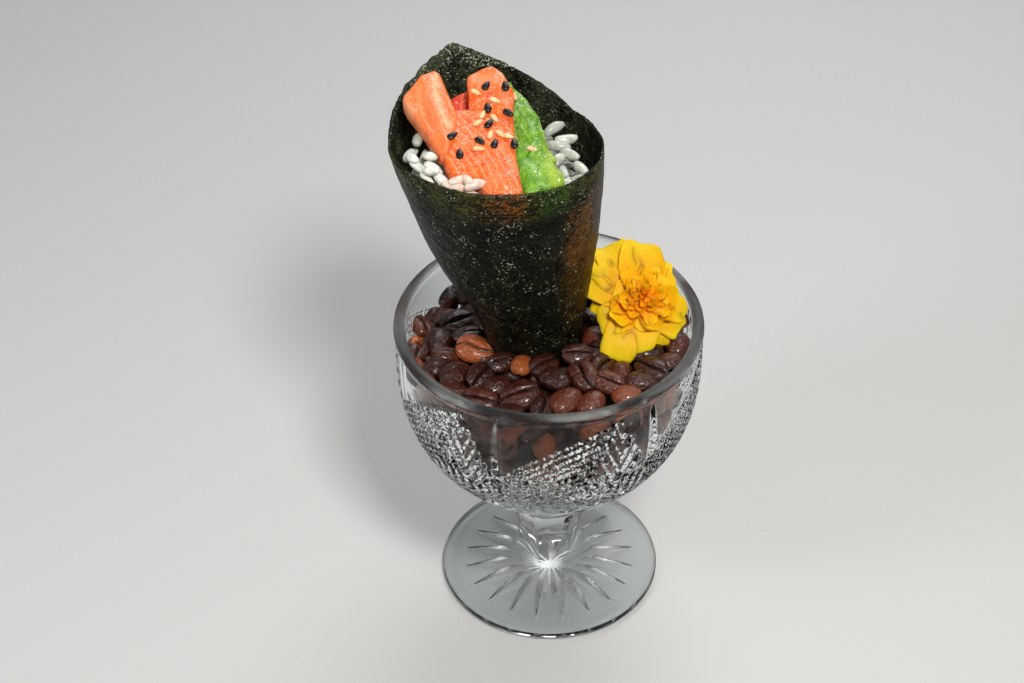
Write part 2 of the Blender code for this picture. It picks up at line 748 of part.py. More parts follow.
def make_beans():
    """The heap of coffee beans: a packed body with loose beans on it."""
    draw = random.Random(29)
    material = make_material("coffee_beans", (0.055, 0.018, 0.010), 0.38)
    core = make_bean_core(material)
    to_flower = flower_frame().inverted()
    beans, taken = [], []
    for number in range(BEAN_TRIES):
        reach = cavity_radius(BELL_TOP) * math.sqrt(draw.random())
        turn = draw.uniform(0, 2 * math.pi)
        x, y = reach * math.cos(turn), reach * math.sin(turn)
        place = (
            Matrix.Translation((x, y, bean_level(x, y) + draw.uniform(*BEAN_RISE)))
            @ Matrix.Rotation(draw.uniform(0, math.pi), 4, "Z")
            @ Matrix.Rotation(draw.uniform(-BEAN_TILT, BEAN_TILT), 4, "Y")
            @ Matrix.Rotation(draw.uniform(-BEAN_TILT, BEAN_TILT), 4, "X")
        )
        if any(math.dist((x, y), other) < BEAN_SPACING for other in taken):
            continue
        scale = draw.uniform(0.9, 1.06)
        sizes = (BEAN_THICKNESS * scale, BEAN_WIDTH * scale, BEAN_LENGTH * scale)
        lying = place @ Matrix.Rotation(math.pi / 2, 4, "Y")
        bean = blob(f"bean_{number}", lying, sizes, material, 6, 4)
        if bean_fits(bean, to_flower):
            beans.append(bean)
            taken.append((x, y))
        else:
            bpy.data.objects.remove(bean, do_unlink=True)
    fuse(core, beans)


# Marigold


def make_petal(name, bearing, length, width, lift, droop, root, draw, material):
    """A thin ruffled petal that starts at the root radius and bends down at its tip."""
    along, across = (4, 4) if length > MIDDLE_LENGTH else (3, 3)
    vertices = []
    shift = draw.uniform(0, 2 * math.pi)
    for side in (PETAL_THICKNESS / 2, -PETAL_THICKNESS / 2):
        for row in range(along):
            share = row / (along - 1)
            reach = root + (length - root) * share
            half_width = width / 2 * (0.35 + 0.65 * math.sin(math.pi * (0.12 + 0.55 * share)))
            for column in range(across):
                over = 2 * column / (across - 1) - 1
                ruffle = PETAL_RUFFLE * share * math.sin(3.2 * over + shift)
                bow = droop * (4 * share * (1 - share)) - droop * share**2
                rise = lift + bow + ruffle + 0.8 * over**2 * share
                bulge = 1 - 0.12 * over**2 * share
                vertices.append(Vector((reach * bulge, over * half_width, rise + side)))
    count = along * across
    faces = []
    for row in range(along - 1):
        for column in range(across - 1):
            a = row * across + column
            beyond = a + across + 1
            for first, second, third in ((a, a + 1, beyond), (a, beyond, beyond - 1)):
                faces.append((first, second, third))
                faces.append((third + count, second + count, first + count))
    border = list(range(across)) + [row * across + across - 1 for row in range(1, along)]
    border += [(along - 1) * across + column for column in range(across - 2, -1, -1)]
    border += [row * across for row in range(along - 2, 0, -1)]
    for here, there in zip(border, border[1:] + border[:1]):
        faces.append((here, here + count, there + count, there))
    turn = flower_frame() @ Matrix.Rotation(math.radians(bearing), 4, "Z")
    return make_object(name, [turn @ vertex for vertex in vertices], faces, material)


def make_marigold():
    """The flower head: a calyx with three rings of petals."""
    draw = random.Random(5)
    material = make_material("marigold", (0.95, 0.55, 0.01), 0.5)
    frame = flower_frame()
    calyx = [[frame @ Vector((0, 0, -CALYX_LENGTH))]]
    for radius, level in CALYX_RINGS:
        calyx.append([frame @ Vector(point) for point in ring(CALYX_SIDES, radius, level)])
    calyx.append([frame @ Vector((0, 0, CALYX_TIP))])
    flower = make_object("marigold", *loft(calyx), material)
    petals = []
    for count, length, width, lift, droop in PETAL_RINGS:
        for number in range(count):
            bearing = 360 * (number + 0.4 * (count % 2)) / count + draw.uniform(-6, 6)
            squeeze = 1 - SIDE_SQUEEZE * math.cos(math.radians(bearing)) ** 2
            reach = length * squeeze * draw.uniform(0.95, 1.02)
            raised = lift + 0.45 * (number % 2) + draw.uniform(0.0, 0.2)
            root = draw.uniform(1.6, 2.2)
            name = f"petal_{count}_{number}"
            petals.append(make_petal(name, bearing, reach, width, raised, droop, root, draw, material))
    fuse(flower, petals)


def main():
    clear_scene()
    make_dish()
    make_nori()
    make_filling()
    make_beans()
    make_marigold()


main()
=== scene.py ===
"""The looks of a temaki hand roll that stands in a stemmed cut-glass dish of coffee beans.

Sizes are in millimetres and angles in degrees, unless a name says otherwise. The meshes are made in metres,
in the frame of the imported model: the dish stands on the plane z = 0 with its axis on the Z axis, and the
front faces -Y.
"""

import logging
import math
import random
from dataclasses import dataclass, field
from enum import Enum
from typing import Any, Callable, Optional, Sequence, Union

import bpy
from bpy.types import Material, Node, NodeSocket, NodeTree, Object
from mathutils import Euler, Matrix, Vector, noise


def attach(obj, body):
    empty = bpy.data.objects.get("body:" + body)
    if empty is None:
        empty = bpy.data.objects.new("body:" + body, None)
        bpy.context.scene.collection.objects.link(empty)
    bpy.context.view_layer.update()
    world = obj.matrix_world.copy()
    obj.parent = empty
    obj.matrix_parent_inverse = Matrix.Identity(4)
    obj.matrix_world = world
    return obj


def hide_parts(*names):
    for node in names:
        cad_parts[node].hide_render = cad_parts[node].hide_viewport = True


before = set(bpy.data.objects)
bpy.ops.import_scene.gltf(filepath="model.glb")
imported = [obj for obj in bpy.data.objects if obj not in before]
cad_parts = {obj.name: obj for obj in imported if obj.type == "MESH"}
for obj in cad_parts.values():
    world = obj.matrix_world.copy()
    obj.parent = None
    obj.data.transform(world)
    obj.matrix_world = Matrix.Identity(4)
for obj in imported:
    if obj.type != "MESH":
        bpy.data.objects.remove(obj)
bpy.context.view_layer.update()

MM = 0.001

Point = Sequence[float]
Triple = tuple[float, float, float]
Colour = Triple
Station = tuple[float, ...]
Rings = list[list[Point]]
Mark = Union[float, Sequence[Any]]

logging.basicConfig(level=logging.INFO, format="%(message)s")
log = logging.getLogger("temaki")


class Slot(Enum):
    """The record's material slots."""

    GLASS = "cut_glass"
    NORI = "nori"
    RICE = "rice"
    SALMON = "salmon"
    AVOCADO = "avocado"
    BEANS = "coffee_beans"
    MARIGOLD = "marigold"


# Node trees


class Signal:
    """A number that varies over a surface. Python's operators on it add Math nodes to its tree."""

    def __init__(self, maker: "NodeMaker", socket: NodeSocket) -> None:
        """Wraps an output socket of a tree."""
        self.maker = maker
        self.socket = socket

    def math(self, operation: str, *terms: "Number") -> "Signal":
        """The result of a Math node with an operation and its inputs, in order."""
        made = self.maker.node("ShaderNodeMath", {"operation": operation}, dict(enumerate(terms)))
        return Signal(self.maker, made.outputs[0])

    def __add__(self, other: "Number") -> "Signal":
        """This plus another."""
        return self.math("ADD", self, other)

    __radd__ = __add__

    def __sub__(self, other: "Number") -> "Signal":
        """This less another."""
        return self.math("SUBTRACT", self, other)

    def __rsub__(self, other: "Number") -> "Signal":
        """Another less this."""
        return self.math("SUBTRACT", other, self)

    def __mul__(self, other: "Number") -> "Signal":
        """This times another."""
        return self.math("MULTIPLY", self, other)

    def __pow__(self, other: "Number") -> "Signal":
        """This to a power."""
        return self.math("POWER", self, other)

    def sine(self) -> "Signal":
        """The sine of this, taken in radians."""
        return self.math("SINE", self)

    def step(self, low: float, high: float) -> "Signal":
        """A smooth step.

        Args:
            low: Where it starts, at 0.
            high: Where it ends, at 1.

        Returns:
            The step.
        """
        sockets = {"Value": self, "From Min": low, "From Max": high}
        made = self.maker.node("ShaderNodeMapRange", {"interpolation_type": "SMOOTHSTEP"}, sockets)
        return Signal(self.maker, made.outputs[0])


Number = Union[Signal, float]


class NodeMaker:
    """Adds nodes to one tree."""

    def __init__(self, tree: NodeTree) -> None:
        """Takes the tree to add to."""
        self.tree = tree

    def node(self, kind: str, settings: dict[str, Any], sockets: dict[Union[int, str], Any]) -> Node:
        """Adds a node.

        Args:
            kind: The node's type.
            settings: Its settings, set before its sockets.
            sockets: A value, a Signal or an output socket for each input, by number, identifier or name.

        Returns:
            The node.
        """
        made = self.tree.nodes.new(kind)
        for key, value in settings.items():
            setattr(made, key, value)
        for key, value in sockets.items():
            socket = self.input_of(made, key)
            value = value.socket if isinstance(value, Signal) else value
            if isinstance(value, NodeSocket):
                self.tree.links.new(value, socket)
            else:
                socket.default_value = value
        return made

    @staticmethod
    def input_of(made: Node, key: Union[int, str]) -> NodeSocket:
        """An input of a node, by its number, identifier or name."""
        if isinstance(key, int):
            return made.inputs[key]
        by_identifier = [socket for socket in made.inputs if socket.identifier == key]
        return by_identifier[0] if by_identifier else made.inputs[key]


class Surface(NodeMaker):
    """A material in the making, with one Principled shader."""

    def __init__(self, name: str, **constants: Any) -> None:
        """Starts a material.

        Args:
            name: The material's name.
            constants: Values that are the same all over, for the shader's own sockets, with _ for a space.
        """
        self.material = bpy.data.materials.new(name)
        self.material.use_nodes = True
        super().__init__(self.material.node_tree)
        self.shader = self.tree.nodes["Principled BSDF"]
        for key, value in constants.items():
            self.shader.inputs[key.replace("_", " ")].default_value = value
        self.place = self.node("ShaderNodeTexCoord", {}, {}).outputs["Object"]

    def noise(
        self, size: float, detail: float = 2.0, stretch: Optional[Point] = None, twist: float = 0.0,
    ) -> Signal:
        """Noise over the object's own place.

        Args:
            size: About how large its blots are, in millimetres.
            detail: How many finer layers it has.
            stretch: How many times longer the blots are along each axis.
            twist: How far it is distorted.

        Returns:
            The noise, from 0 to 1.
        """
        vector = self.place
        if stretch is not None:
            scale = tuple(1 / share for share in stretch)
            vector = self.node("ShaderNodeMapping", {}, {"Vector": vector, "Scale": scale}).outputs[0]
        sockets = {"Vector": vector, "Scale": 1 / (size * MM), "Detail": detail, "Distortion": twist}
        return Signal(self, self.node("ShaderNodeTexNoise", {}, sockets).outputs[0])

    def mark(self, name: str) -> Signal:
        """A number that the mesh carries at its points."""
        return Signal(self, self.node("ShaderNodeAttribute", {"attribute_name": name}, {}).outputs["Fac"])

    def tint(self, name: str) -> NodeSocket:
        """A colour that the mesh carries at its points."""
        return self.node("ShaderNodeAttribute", {"attribute_name": name}, {}).outputs["Color"]

    def ramp(self, factor: Signal, *stops: tuple[float, Colour]) -> NodeSocket:
        """Colours along a number.

        Args:
            factor: The number.
            stops: Each stop's place and colour.

        Returns:
            The colour.
        """
        made = self.node("ShaderNodeValToRGB", {}, {"Fac": factor})
        elements = made.color_ramp.elements
        while len(elements) < len(stops):
            elements.new(1.0)
        for element, (place, colour) in zip(elements, stops):
            element.position = place
            element.color = (*colour, 1.0)
        return made.outputs[0]

    def mix(self, factor: Number, first: Any, second: Any, blend: str = "MIX") -> NodeSocket:
        """Two colours mixed.

        Args:
            factor: The second colour's share.
            first: The first colour, or its socket.
            second: The second colour, or its socket.
            blend: How the second goes over the first.

        Returns:
            The mixed colour.
        """
        pair = [(*value, 1.0) if isinstance(value, tuple) else value for value in (first, second)]
        sockets = {"Factor_Float": factor, "A_Color": pair[0], "B_Color": pair[1]}
        made = self.node("ShaderNodeMix", {"data_type": "RGBA", "blend_type": blend}, sockets)
        return next(socket for socket in made.outputs if socket.identifier == "Result_Color")

    def painted_glints(self, body: NodeSocket, colour: Colour) -> NodeSocket:
        """A colour with small painted highlights of another over it, standing for wet sparkle, as strong as
        the mesh's mark for them.
        """
        spots = (self.noise(0.5, 2.0, twist=0.4) + self.noise(4.5, 1.0) * 0.4).step(0.82, 0.90)
        return self.mix(spots * self.mark("speckle"), body, colour)

    def bump(self, height: Signal, depth: float, below: Optional[NodeSocket] = None) -> NodeSocket:
        """Relief from a height.

        Args:
            height: The height, from 0 to 1.
            depth: How deep the relief is, in millimetres.
            below: A relief that this one lies on.

        Returns:
            The normal.
        """
        sockets = {"Height": height, "Distance": depth * MM, "Strength": 1.0}
        if below is not None:
            sockets["Normal"] = below
        return self.node("ShaderNodeBump", {}, sockets).outputs[0]

    def done(self, **inputs: Any) -> Material:
        """Joins what varies to the shader.

        Args:
            inputs: A socket or Signal for each of the shader's inputs, with _ for a space.

        Returns:
            The finished material.
        """
        for key, value in inputs.items():
            socket = value.socket if isinstance(value, Signal) else value
            self.tree.links.new(socket, self.shader.inputs[key.replace("_", " ")])
        return self.material


# Finishes


@dataclass(frozen=True)
class GlassFinish:
    """Clear pressed glass with a faint ripple, matt where the mesh's "frost" mark says so."""

    clear: Colour = (0.925, 0.955, 0.950)
    tinge: Colour = (0.86, 0.91, 0.905)
    glare: Colour = (0.0, 0.0, 0.0)
    tinged: float = 0.3
    polish: float = 0.003
    wear: float = 0.01
    frost: float = 0.55
    ior: float = 1.51
    ripple: float = 0.03

    def material(self) -> Material:
        """Builds the glass."""
        glare = (*self.glare, 1.0)
        made = Surface("cut_glass_look", IOR=self.ior, Transmission_Weight=1.0, Specular_Tint=glare)
        rub = made.noise(7.0)
        colour = made.mix(rub * self.tinged, self.clear, self.tinge)
        relief = made.bump(made.noise(4.5, 1.0), self.ripple)
        dull = rub * self.wear + made.mark("frost") * self.frost + self.polish
        return made.done(Base_Color=colour, Roughness=dull, Normal=relief)


@dataclass(frozen=True)
class NoriFinish:
    """Dry seaweed sheet: near black, mottled and crackled, with painted glints, and lighter with painted
    light where light comes through it.
    """

    dark: Colour = (0.0016, 0.0019, 0.0012)
    leaf: Colour = (0.0105, 0.0122, 0.0056)
    inner: Colour = (0.0700, 0.0800, 0.0450)
    glint: Colour = (0.42, 0.45, 0.35)
    dim_glint: Colour = (0.060, 0.062, 0.030)
    fibre: float = 0.75
    crackle: float = 0.40
    bubble: float = 0.80

    def material(self) -> Material:
        """Builds the sheet's finish."""
        made = Surface("nori_look", IOR=1.5, Specular_IOR_Level=0.08)
        fine = made.noise(self.fibre, 3.0, twist=0.6)
        patch = made.noise(5.0, 3.0)
        strands = made.noise(1.5, 3.0, stretch=(1.6, 1.6, 0.6), twist=1.6)
        crumpled = made.mark("crumpled")
        mottle = (fine * 0.7 + patch * 0.6).step(0.50, 0.86)
        body = made.mix(mottle, self.dark, self.leaf)
        body = made.mix(crumpled * mottle, body, self.inner)
        # Painted light: where the mesh marks the sheet as thin, blotches take the colour of what lies behind,
        # as if lit through the sheet.
        lit_through_spots = (strands * 1.5 + fine * 0.8 + patch * 0.6).step(1.34, 1.72)
        body = made.mix(made.mark("thin") * lit_through_spots, body, made.tint("behind"))
        # Painted highlights: dim flecks and bright spots in the base colour stand for glints, more at the
        # crumpled top, and the bright spots are a little smoother.
        glint_field = made.noise(0.62, 2.0, twist=0.3) + made.noise(4.0, 2.0) * 0.34
        body = made.mix((glint_field + crumpled * 0.03).step(0.78, 0.85) * 0.8, body, self.dim_glint)
        painted_glint_mask = (glint_field + crumpled**3.0 * 0.090).step(0.845, 0.895)
        body = made.mix(painted_glint_mask * 0.85, body, self.glint)
        shine = (strands * 0.6 + fine * 0.5).step(0.35, 0.8) * 0.24 + 0.28
        relief = made.bump(fine, self.crackle)
        relief = made.bump(made.noise(2.2, 2.0, twist=0.4), self.bubble, relief)
        return made.done(Base_Color=body, Roughness=shine - painted_glint_mask * 0.12, Normal=relief)


@dataclass(frozen=True)
class RiceFinish:
    """Moist cooked rice, slightly clear, tinted where it touches the fish, and clearer and darker where its
    tone mark is below 0, which is partly painted shade.
    """

    pearl: Colour = (0.84, 0.83, 0.75)
    clear: Colour = (0.50, 0.53, 0.47)
    glassy_and_painted_shade: Colour = (0.26, 0.31, 0.25)
    blush: Colour = (0.88, 0.47, 0.33)

    def material(self) -> Material:
        """Builds the rice's finish."""
        made = Surface(
            "rice_look", IOR=1.42, Coat_Weight=0.35, Coat_Roughness=0.12, Subsurface_Weight=0.45,
            Subsurface_Radius=(1.6, 1.3, 1.0), Subsurface_Scale=MM,
        )
        tone = made.mark("tone")
        body = made.mix(made.noise(2.4, 2.0).step(0.45, 0.72), self.pearl, self.clear)
        body = made.mix(tone.step(0.0, 1.0), body, self.blush)
        # Below 0 the tone mark makes the rice clearer and darker, partly its own clearness and partly painted
        # shade in the gaps and on grains in shadow.
        body = made.mix((tone * -1.0).step(0.0, 1.0), body, self.glassy_and_painted_shade)
        relief = made.bump(made.noise(1.3, 2.0), 0.16)
        return made.done(Base_Color=body, Roughness=made.noise(1.5) * 0.25 + 0.18, Normal=relief)


@dataclass(frozen=True)
class SalmonFinish:
    """Raw salmon: orange flesh with pale lines of fat, wet."""

    flesh: Colour = (0.88, 0.155, 0.008)
    deep: Colour = (0.64, 0.045, 0.002)
    fat: Colour = (0.93, 0.42, 0.20)
    painted_glint_colour: Colour = (1.0, 0.80, 0.78)
    line_sharpness: float = 0.45

    def material(self) -> Material:
        """Builds the fish's finish."""
        made = Surface(
            "salmon_look", IOR=1.42, Coat_Roughness=0.12, Specular_IOR_Level=0.75,
            Subsurface_Weight=0.30, Subsurface_Radius=(2.6, 0.7, 0.3), Subsurface_Scale=MM,
        )
        stray = made.noise(5.0, 3.0) * 3.4
        line = (made.mark("band") * math.tau + stray).sine() * 0.5 + 0.5
        line = line.step(self.line_sharpness, 1.0)
        # Deeper red at random over the flesh, and by the mesh's mark, which on the inner strip is painted
        # shade.
        deep_red_and_painted_shade = made.mark("deep") * 0.7 + made.noise(5.0, 2.0).step(0.45, 0.72) * 0.6
        flesh = made.mix(deep_red_and_painted_shade, self.flesh, self.deep)
        body = made.mix(line * made.mark("fatness"), flesh, self.fat)
        body = made.mix(made.mark("pale"), body, self.fat)
        # Painted highlights: small bright spots in the base colour for the wet flesh's sparkle.
        body = made.painted_glints(body, self.painted_glint_colour)
        relief = made.bump(made.noise(1.1, 3.0, twist=0.6), 0.45)
        relief = made.bump(line, 0.10, relief)
        dull = made.noise(0.6, 3.0) * 0.35 + 0.06
        wet = made.noise(2.6, 2.0).step(0.42, 0.58) * 0.25
        return made.done(Base_Color=body, Roughness=dull, Normal=relief, Coat_Weight=wet)


@dataclass(frozen=True)
class AvocadoFinish:
    """Ripe avocado flesh: bright green, softer and paler to one side, wet and slightly mashed."""

    green: Colour = (0.20, 0.42, 0.010)
    pale: Colour = (0.40, 0.57, 0.050)
    dark: Colour = (0.10, 0.28, 0.006)
    painted_glint_colour: Colour = (0.80, 0.92, 0.60)

    def material(self) -> Material:
        """Builds the flesh's finish."""
        made = Surface(
            "avocado_look", IOR=1.43, Coat_Roughness=0.1,
            Subsurface_Weight=0.25, Subsurface_Radius=(1.0, 1.5, 0.4), Subsurface_Scale=MM,
        )
        mottle = made.noise(2.2, 3.0)
        body = made.mix(mottle.step(0.35, 0.7), self.dark, self.green)
        body = made.mix(made.mark("pale") * (mottle * 0.6 + 0.5), body, self.pale)
        # Painted highlights: small pale spots in the base colour for the wet flesh's sparkle.
        body = made.painted_glints(body, self.painted_glint_colour)
        relief = made.bump(made.noise(0.9, 3.0, twist=0.5), 0.65)
        relief = made.bump(made.noise(2.6, 2.0, twist=0.8), 1.1, relief)
        dull = made.noise(1.0) * 0.3 + 0.12
        wet = made.noise(2.4, 1.0).step(0.42, 0.58) * 0.5
        return made.done(Base_Color=body, Roughness=dull, Normal=relief, Coat_Weight=wet)


@dataclass(frozen=True)
class SesameFinish:
    """Toasted sesame of one colour."""

    name: str
    hull: Colour
    shade: Colour
    roughness: float

    def material(self) -> Material:
        """Builds the hull's finish."""
        made = Surface(self.name, IOR=1.45)
        body = made.mix(made.noise(0.7, 2.0).step(0.35, 0.7), self.hull, self.shade)
        relief = made.bump(made.noise(0.35, 2.0), 0.03)
        return made.done(Base_Color=body, Roughness=made.noise(0.6) * 0.15 + self.roughness, Normal=relief)


@dataclass(frozen=True)
class BeanFinish:
    """Roasted coffee: red brown with an oily sheen, painted shade in the crease, and a few lighter beans."""

    black: Colour = (0.014, 0.0050, 0.0038)
    brown: Colour = (0.046, 0.0090, 0.0044)
    russet: Colour = (0.130, 0.026, 0.0085)
    amber: Colour = (0.370, 0.090, 0.0190)
    crease: Colour = (0.006, 0.0025, 0.002)

    def material(self) -> Material:
        """Builds the roast's finish."""
        made = Surface("bean_look", IOR=1.48, Coat_Roughness=0.09, Specular_IOR_Level=0.45)
        streak = made.noise(2.6, 3.0, twist=0.5)
        tone = made.mark("tone") + streak * 0.22 - 0.11
        stops = ((0.0, self.black), (0.4, self.brown), (0.72, self.russet), (1.0, self.amber))
        body = made.ramp(tone, *stops)
        # Painted shade: the crease is darkened in the base colour.
        body = made.mix(made.mark("crease"), body, self.crease)
        fine = made.noise(0.7, 3.0, twist=0.8)
        relief = made.bump(fine, 0.22)
        relief = made.bump(made.noise(2.1, 3.0, twist=1.2), 0.85, relief)
        oil = made.noise(3.0, 1.0).step(0.3, 0.7) * 0.45
        return made.done(Base_Color=body, Roughness=fine * 0.26 + 0.08, Normal=relief, Coat_Weight=oil)


@dataclass(frozen=True)
class PetalFinish:
    """Soft yellow petals, orange towards their bases, with fine ribs."""

    base: Colour = (0.90, 0.19, 0.002)
    middle: Colour = (0.96, 0.34, 0.003)
    tip: Colour = (0.98, 0.47, 0.004)
    edge: Colour = (0.98, 0.56, 0.009)

    def material(self) -> Material:
        """Builds the petals' finish."""
        made = Surface(
            "petal_look", IOR=1.4, Specular_IOR_Level=0.25,
            Subsurface_Weight=0.6, Subsurface_Radius=(1.6, 1.1, 0.2), Subsurface_Scale=MM,
        )
        along = made.mark("along") + made.noise(2.0, 2.0) * 0.16 - 0.08
        body = made.ramp(along, (0.06, self.base), (0.34, self.middle), (0.66, self.tip), (1.0, self.edge))
        rib = (made.mark("across") * 30.0).sine() * 0.5 + 0.5
        body = made.mix(rib * 0.08, body, self.middle)
        relief = made.bump(rib * made.noise(1.5), 0.05)
        return made.done(Base_Color=body, Roughness=made.noise(1.0) * 0.15 + 0.45, Normal=relief)


@dataclass(frozen=True)
class StalkFinish:
    """The flower's green cup."""

    green: Colour = (0.10, 0.19, 0.035)
    tip: Colour = (0.22, 0.30, 0.06)

    def material(self) -> Material:
        """Builds the cup's finish."""
        made = Surface("cup_look")
        body = made.mix(made.noise(1.5, 2.0), self.green, self.tip)
        relief = made.bump(made.noise(0.8, 1.0, stretch=(1.0, 1.0, 4.0)), 0.1)
        return made.done(Base_Color=body, Roughness=made.noise(1.0) * 0.2 + 0.45, Normal=relief)


@dataclass(frozen=True)
class FloorFinish:
    """A pale matt table."""

    colour: Colour = (0.58, 0.58, 0.572)
    shade: Colour = (0.54, 0.54, 0.535)

    def material(self) -> Material:
        """Builds the table's finish."""
        made = Surface("pale_floor")
        body = made.mix(made.noise(180.0) * 0.15, self.colour, self.shade)
        return made.done(Base_Color=body, Roughness=made.noise(60.0) * 0.05 + 0.55)


# Meshes


@dataclass
class Skin:
    """The points, faces and marks of one mesh in the making, in millimetres."""

    points: list[Point] = field(default_factory=list)
    faces: list[tuple[int, ...]] = field(default_factory=list)
    marks: dict[str, list[Any]] = field(default_factory=dict)

    def add(self, points: Sequence[Point], faces: Sequence[tuple[int, ...]], **marks: Mark) -> None:
        """Adds a body.

        Args:
            points: Its points.
            faces: Its faces, by its own points' numbers.
            marks: For each mark a value at each of its points, or one for all of them.
        """
        first = len(self.points)
        self.points.extend(points)
        self.faces.extend(tuple(first + number for number in face) for face in faces)
        for name, values in marks.items():
            values = [values] * len(points) if isinstance(values, float) else values
            self.marks.setdefault(name, []).extend(values)

    @classmethod
    def of_rings(cls, rings: Sequence[Sequence[Point]], **marks: Mark) -> "Skin":
        """A closed body over rings of points.

        A ring of one point is a tip, and a ring may have twice as many points as the one beside it.

        Args:
            rings: The rings, each turning left seen from the end that the next one lies towards.
            marks: For each mark a value at each point, ring after ring, or one for all of them.

        Returns:
            The mesh in the making.
        """
        points: list[Point] = []
        starts: list[int] = []
        for ring in rings:
            starts.append(len(points))
            points.extend(ring)
        faces: list[tuple[int, ...]] = []
        for number in range(len(rings) - 1):
            low, high = starts[number], starts[number + 1]
            low_count, high_count = len(rings[number]), len(rings[number + 1])
            count = max(low_count, high_count)
            for step in range(count):
                corners = [low + at * low_count // count % low_count for at in (step, step + 1)]
                corners += [high + at * high_count // count % high_count for at in (step + 1, step)]
                faces.append(tuple(dict.fromkeys(corners)))
        if len(rings[0]) > 1:
            faces.append(tuple(range(len(rings[0])))[::-1])
        if len(rings[-1]) > 1:
            faces.append(tuple(range(starts[-1], len(points))))
        skin = cls()
        skin.add(points, faces, **marks)
        return skin

    def make(self, name: str, finish: Material, sharp: float = 180.0) -> Object:
        """Makes the object.

        Args:
            name: The object's name.
            finish: Its material.
            sharp: The angle past which an edge between faces stays sharp.

        Returns:
            The object, at the origin.
        """
        mesh = bpy.data.meshes.new(name)
        mesh.from_pydata([Vector(point) * MM for point in self.points], [], self.faces)
        for mark, values in self.marks.items():
            wide = isinstance(values[0], tuple)
            layer = mesh.attributes.new(mark, "FLOAT_COLOR" if wide else "FLOAT", "POINT")
            if wide:
                layer.data.foreach_set("color", [part for value in values for part in (*value, 1.0)])
            else:
                layer.data.foreach_set("value", values)
        mesh.materials.append(finish)
        mesh.shade_smooth()
        if sharp < 180:
            mesh.set_sharp_from_angle(angle=math.radians(sharp))
        made = bpy.data.objects.new(name, mesh)
        bpy.context.scene.collection.objects.link(made)
        return made

    def make_unit(self, name: str, finish: Material) -> Object:
        """Makes a shape to be copied, a metre long for each unit of its points."""
        shape = self.make(name, finish)
        shape.data.transform(Matrix.Scale(1 / MM, 4))
        return shape


def hand_over(piece: Object, slot: Slot, *nodes: str) -> None:
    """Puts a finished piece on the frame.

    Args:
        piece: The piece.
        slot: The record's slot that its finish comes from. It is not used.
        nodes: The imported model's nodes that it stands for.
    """
    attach(piece, "root")
    if nodes:
        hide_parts(*nodes)
    log.info("%s: %d faces", piece.name, len(piece.data.polygons))


def between(stations: Sequence[Station], place: float, column: int) -> float:
    """A column of the stations, on a smooth curve through them.

    Args:
        stations: Rows that start with a rising place.
        place: Where to read.
        column: Which number of the row to read.

    Returns:
        The value there.
    """
    last = len(stations) - 1
    place = min(max(place, stations[0][0]), stations[last][0])
    here = next(i for i in range(last) if place <= stations[i + 1][0])
    low, high = stations[here], stations[here + 1]
    before, after = stations[max(here - 1, 0)], stations[min(here + 2, last)]
    span = high[0] - low[0]
    share = (place - low[0]) / span
    leave = (high[column] - before[column]) / (high[0] - before[0]) * span
    arrive = (after[column] - low[column]) / (after[0] - low[0]) * span
    square, cube = share**2, share**3
    start_part = (2 * cube - 3 * square + 1) * low[column] + (cube - 2 * square + share) * leave
    return start_part + (3 * square - 2 * cube) * high[column] + (cube - square) * arrive


def smooth(value: float, low: float, high: float) -> float:
    """A smooth step from 0 at low to 1 at high."""
    share = min(max((value - low) / (high - low), 0.0), 1.0)
    return share * share * (3 - 2 * share)


def peak(value: float) -> float:
    """A zigzag: 0 at whole numbers and 1 halfway between them."""
    return 1 - abs(2 * (value - math.floor(value)) - 1)


def rough(x: float, y: float, z: float, size: float) -> float:
    """Smooth noise from about -1 to 1, with blots of about this size."""
    return noise.noise(Vector((x, y, z)) / size)


def blend(first: Colour, second: Colour, share: float) -> Colour:
    """A share of the way from one colour to another."""
    return tuple(low + (high - low) * share for low, high in zip(first, second))


def circle(count: int) -> list[tuple[float, float]]:
    """The cosine and sine of turns that go evenly once round."""
    turns = [math.tau * step / count for step in range(count)]
    return [(math.cos(turn), math.sin(turn)) for turn in turns]


# Repeated shapes


@dataclass(frozen=True)
class Placing:
    """Where one copy of a shape goes."""

    place: Vector
    turn: Matrix
    size: float = 1.0
    tone: float = 0.0

    def near(self, place: Vector, distance: float) -> bool:
        """Whether a place is closer to this one than a distance."""
        return (place - self.place).length < distance


def unit_body(
    name: str, finish: Material, sides: int, bluntness: float,
    section: Callable[[float], tuple[float, float]],
) -> Object:
    """A body of one unit with round sections along the X axis.

    Args:
        name: Its name.
        finish: Its material.
        sides: How many points it has round it.
        bluntness: How blunt its ends are: 1 for a ball, less for blunter.
        section: Gives the girth's share and the bend along Y at a place along it.

    Returns:
        The body.
    """
    steps = 8
    rings: Rings = [[(-0.5, 0.0, 0.0)]]
    for step in range(1, steps):
        angle = math.pi * step / steps
        x = -0.5 * math.cos(angle)
        share, bend = section(x)
        reach = 0.5 * math.sin(angle) ** bluntness * share
        rings.append([(x, reach * cos + bend, reach * sin) for cos, sin in circle(sides)])
    rings.append([(0.5, 0.0, 0.0)])
    return Skin.of_rings(rings).make_unit(name, finish)


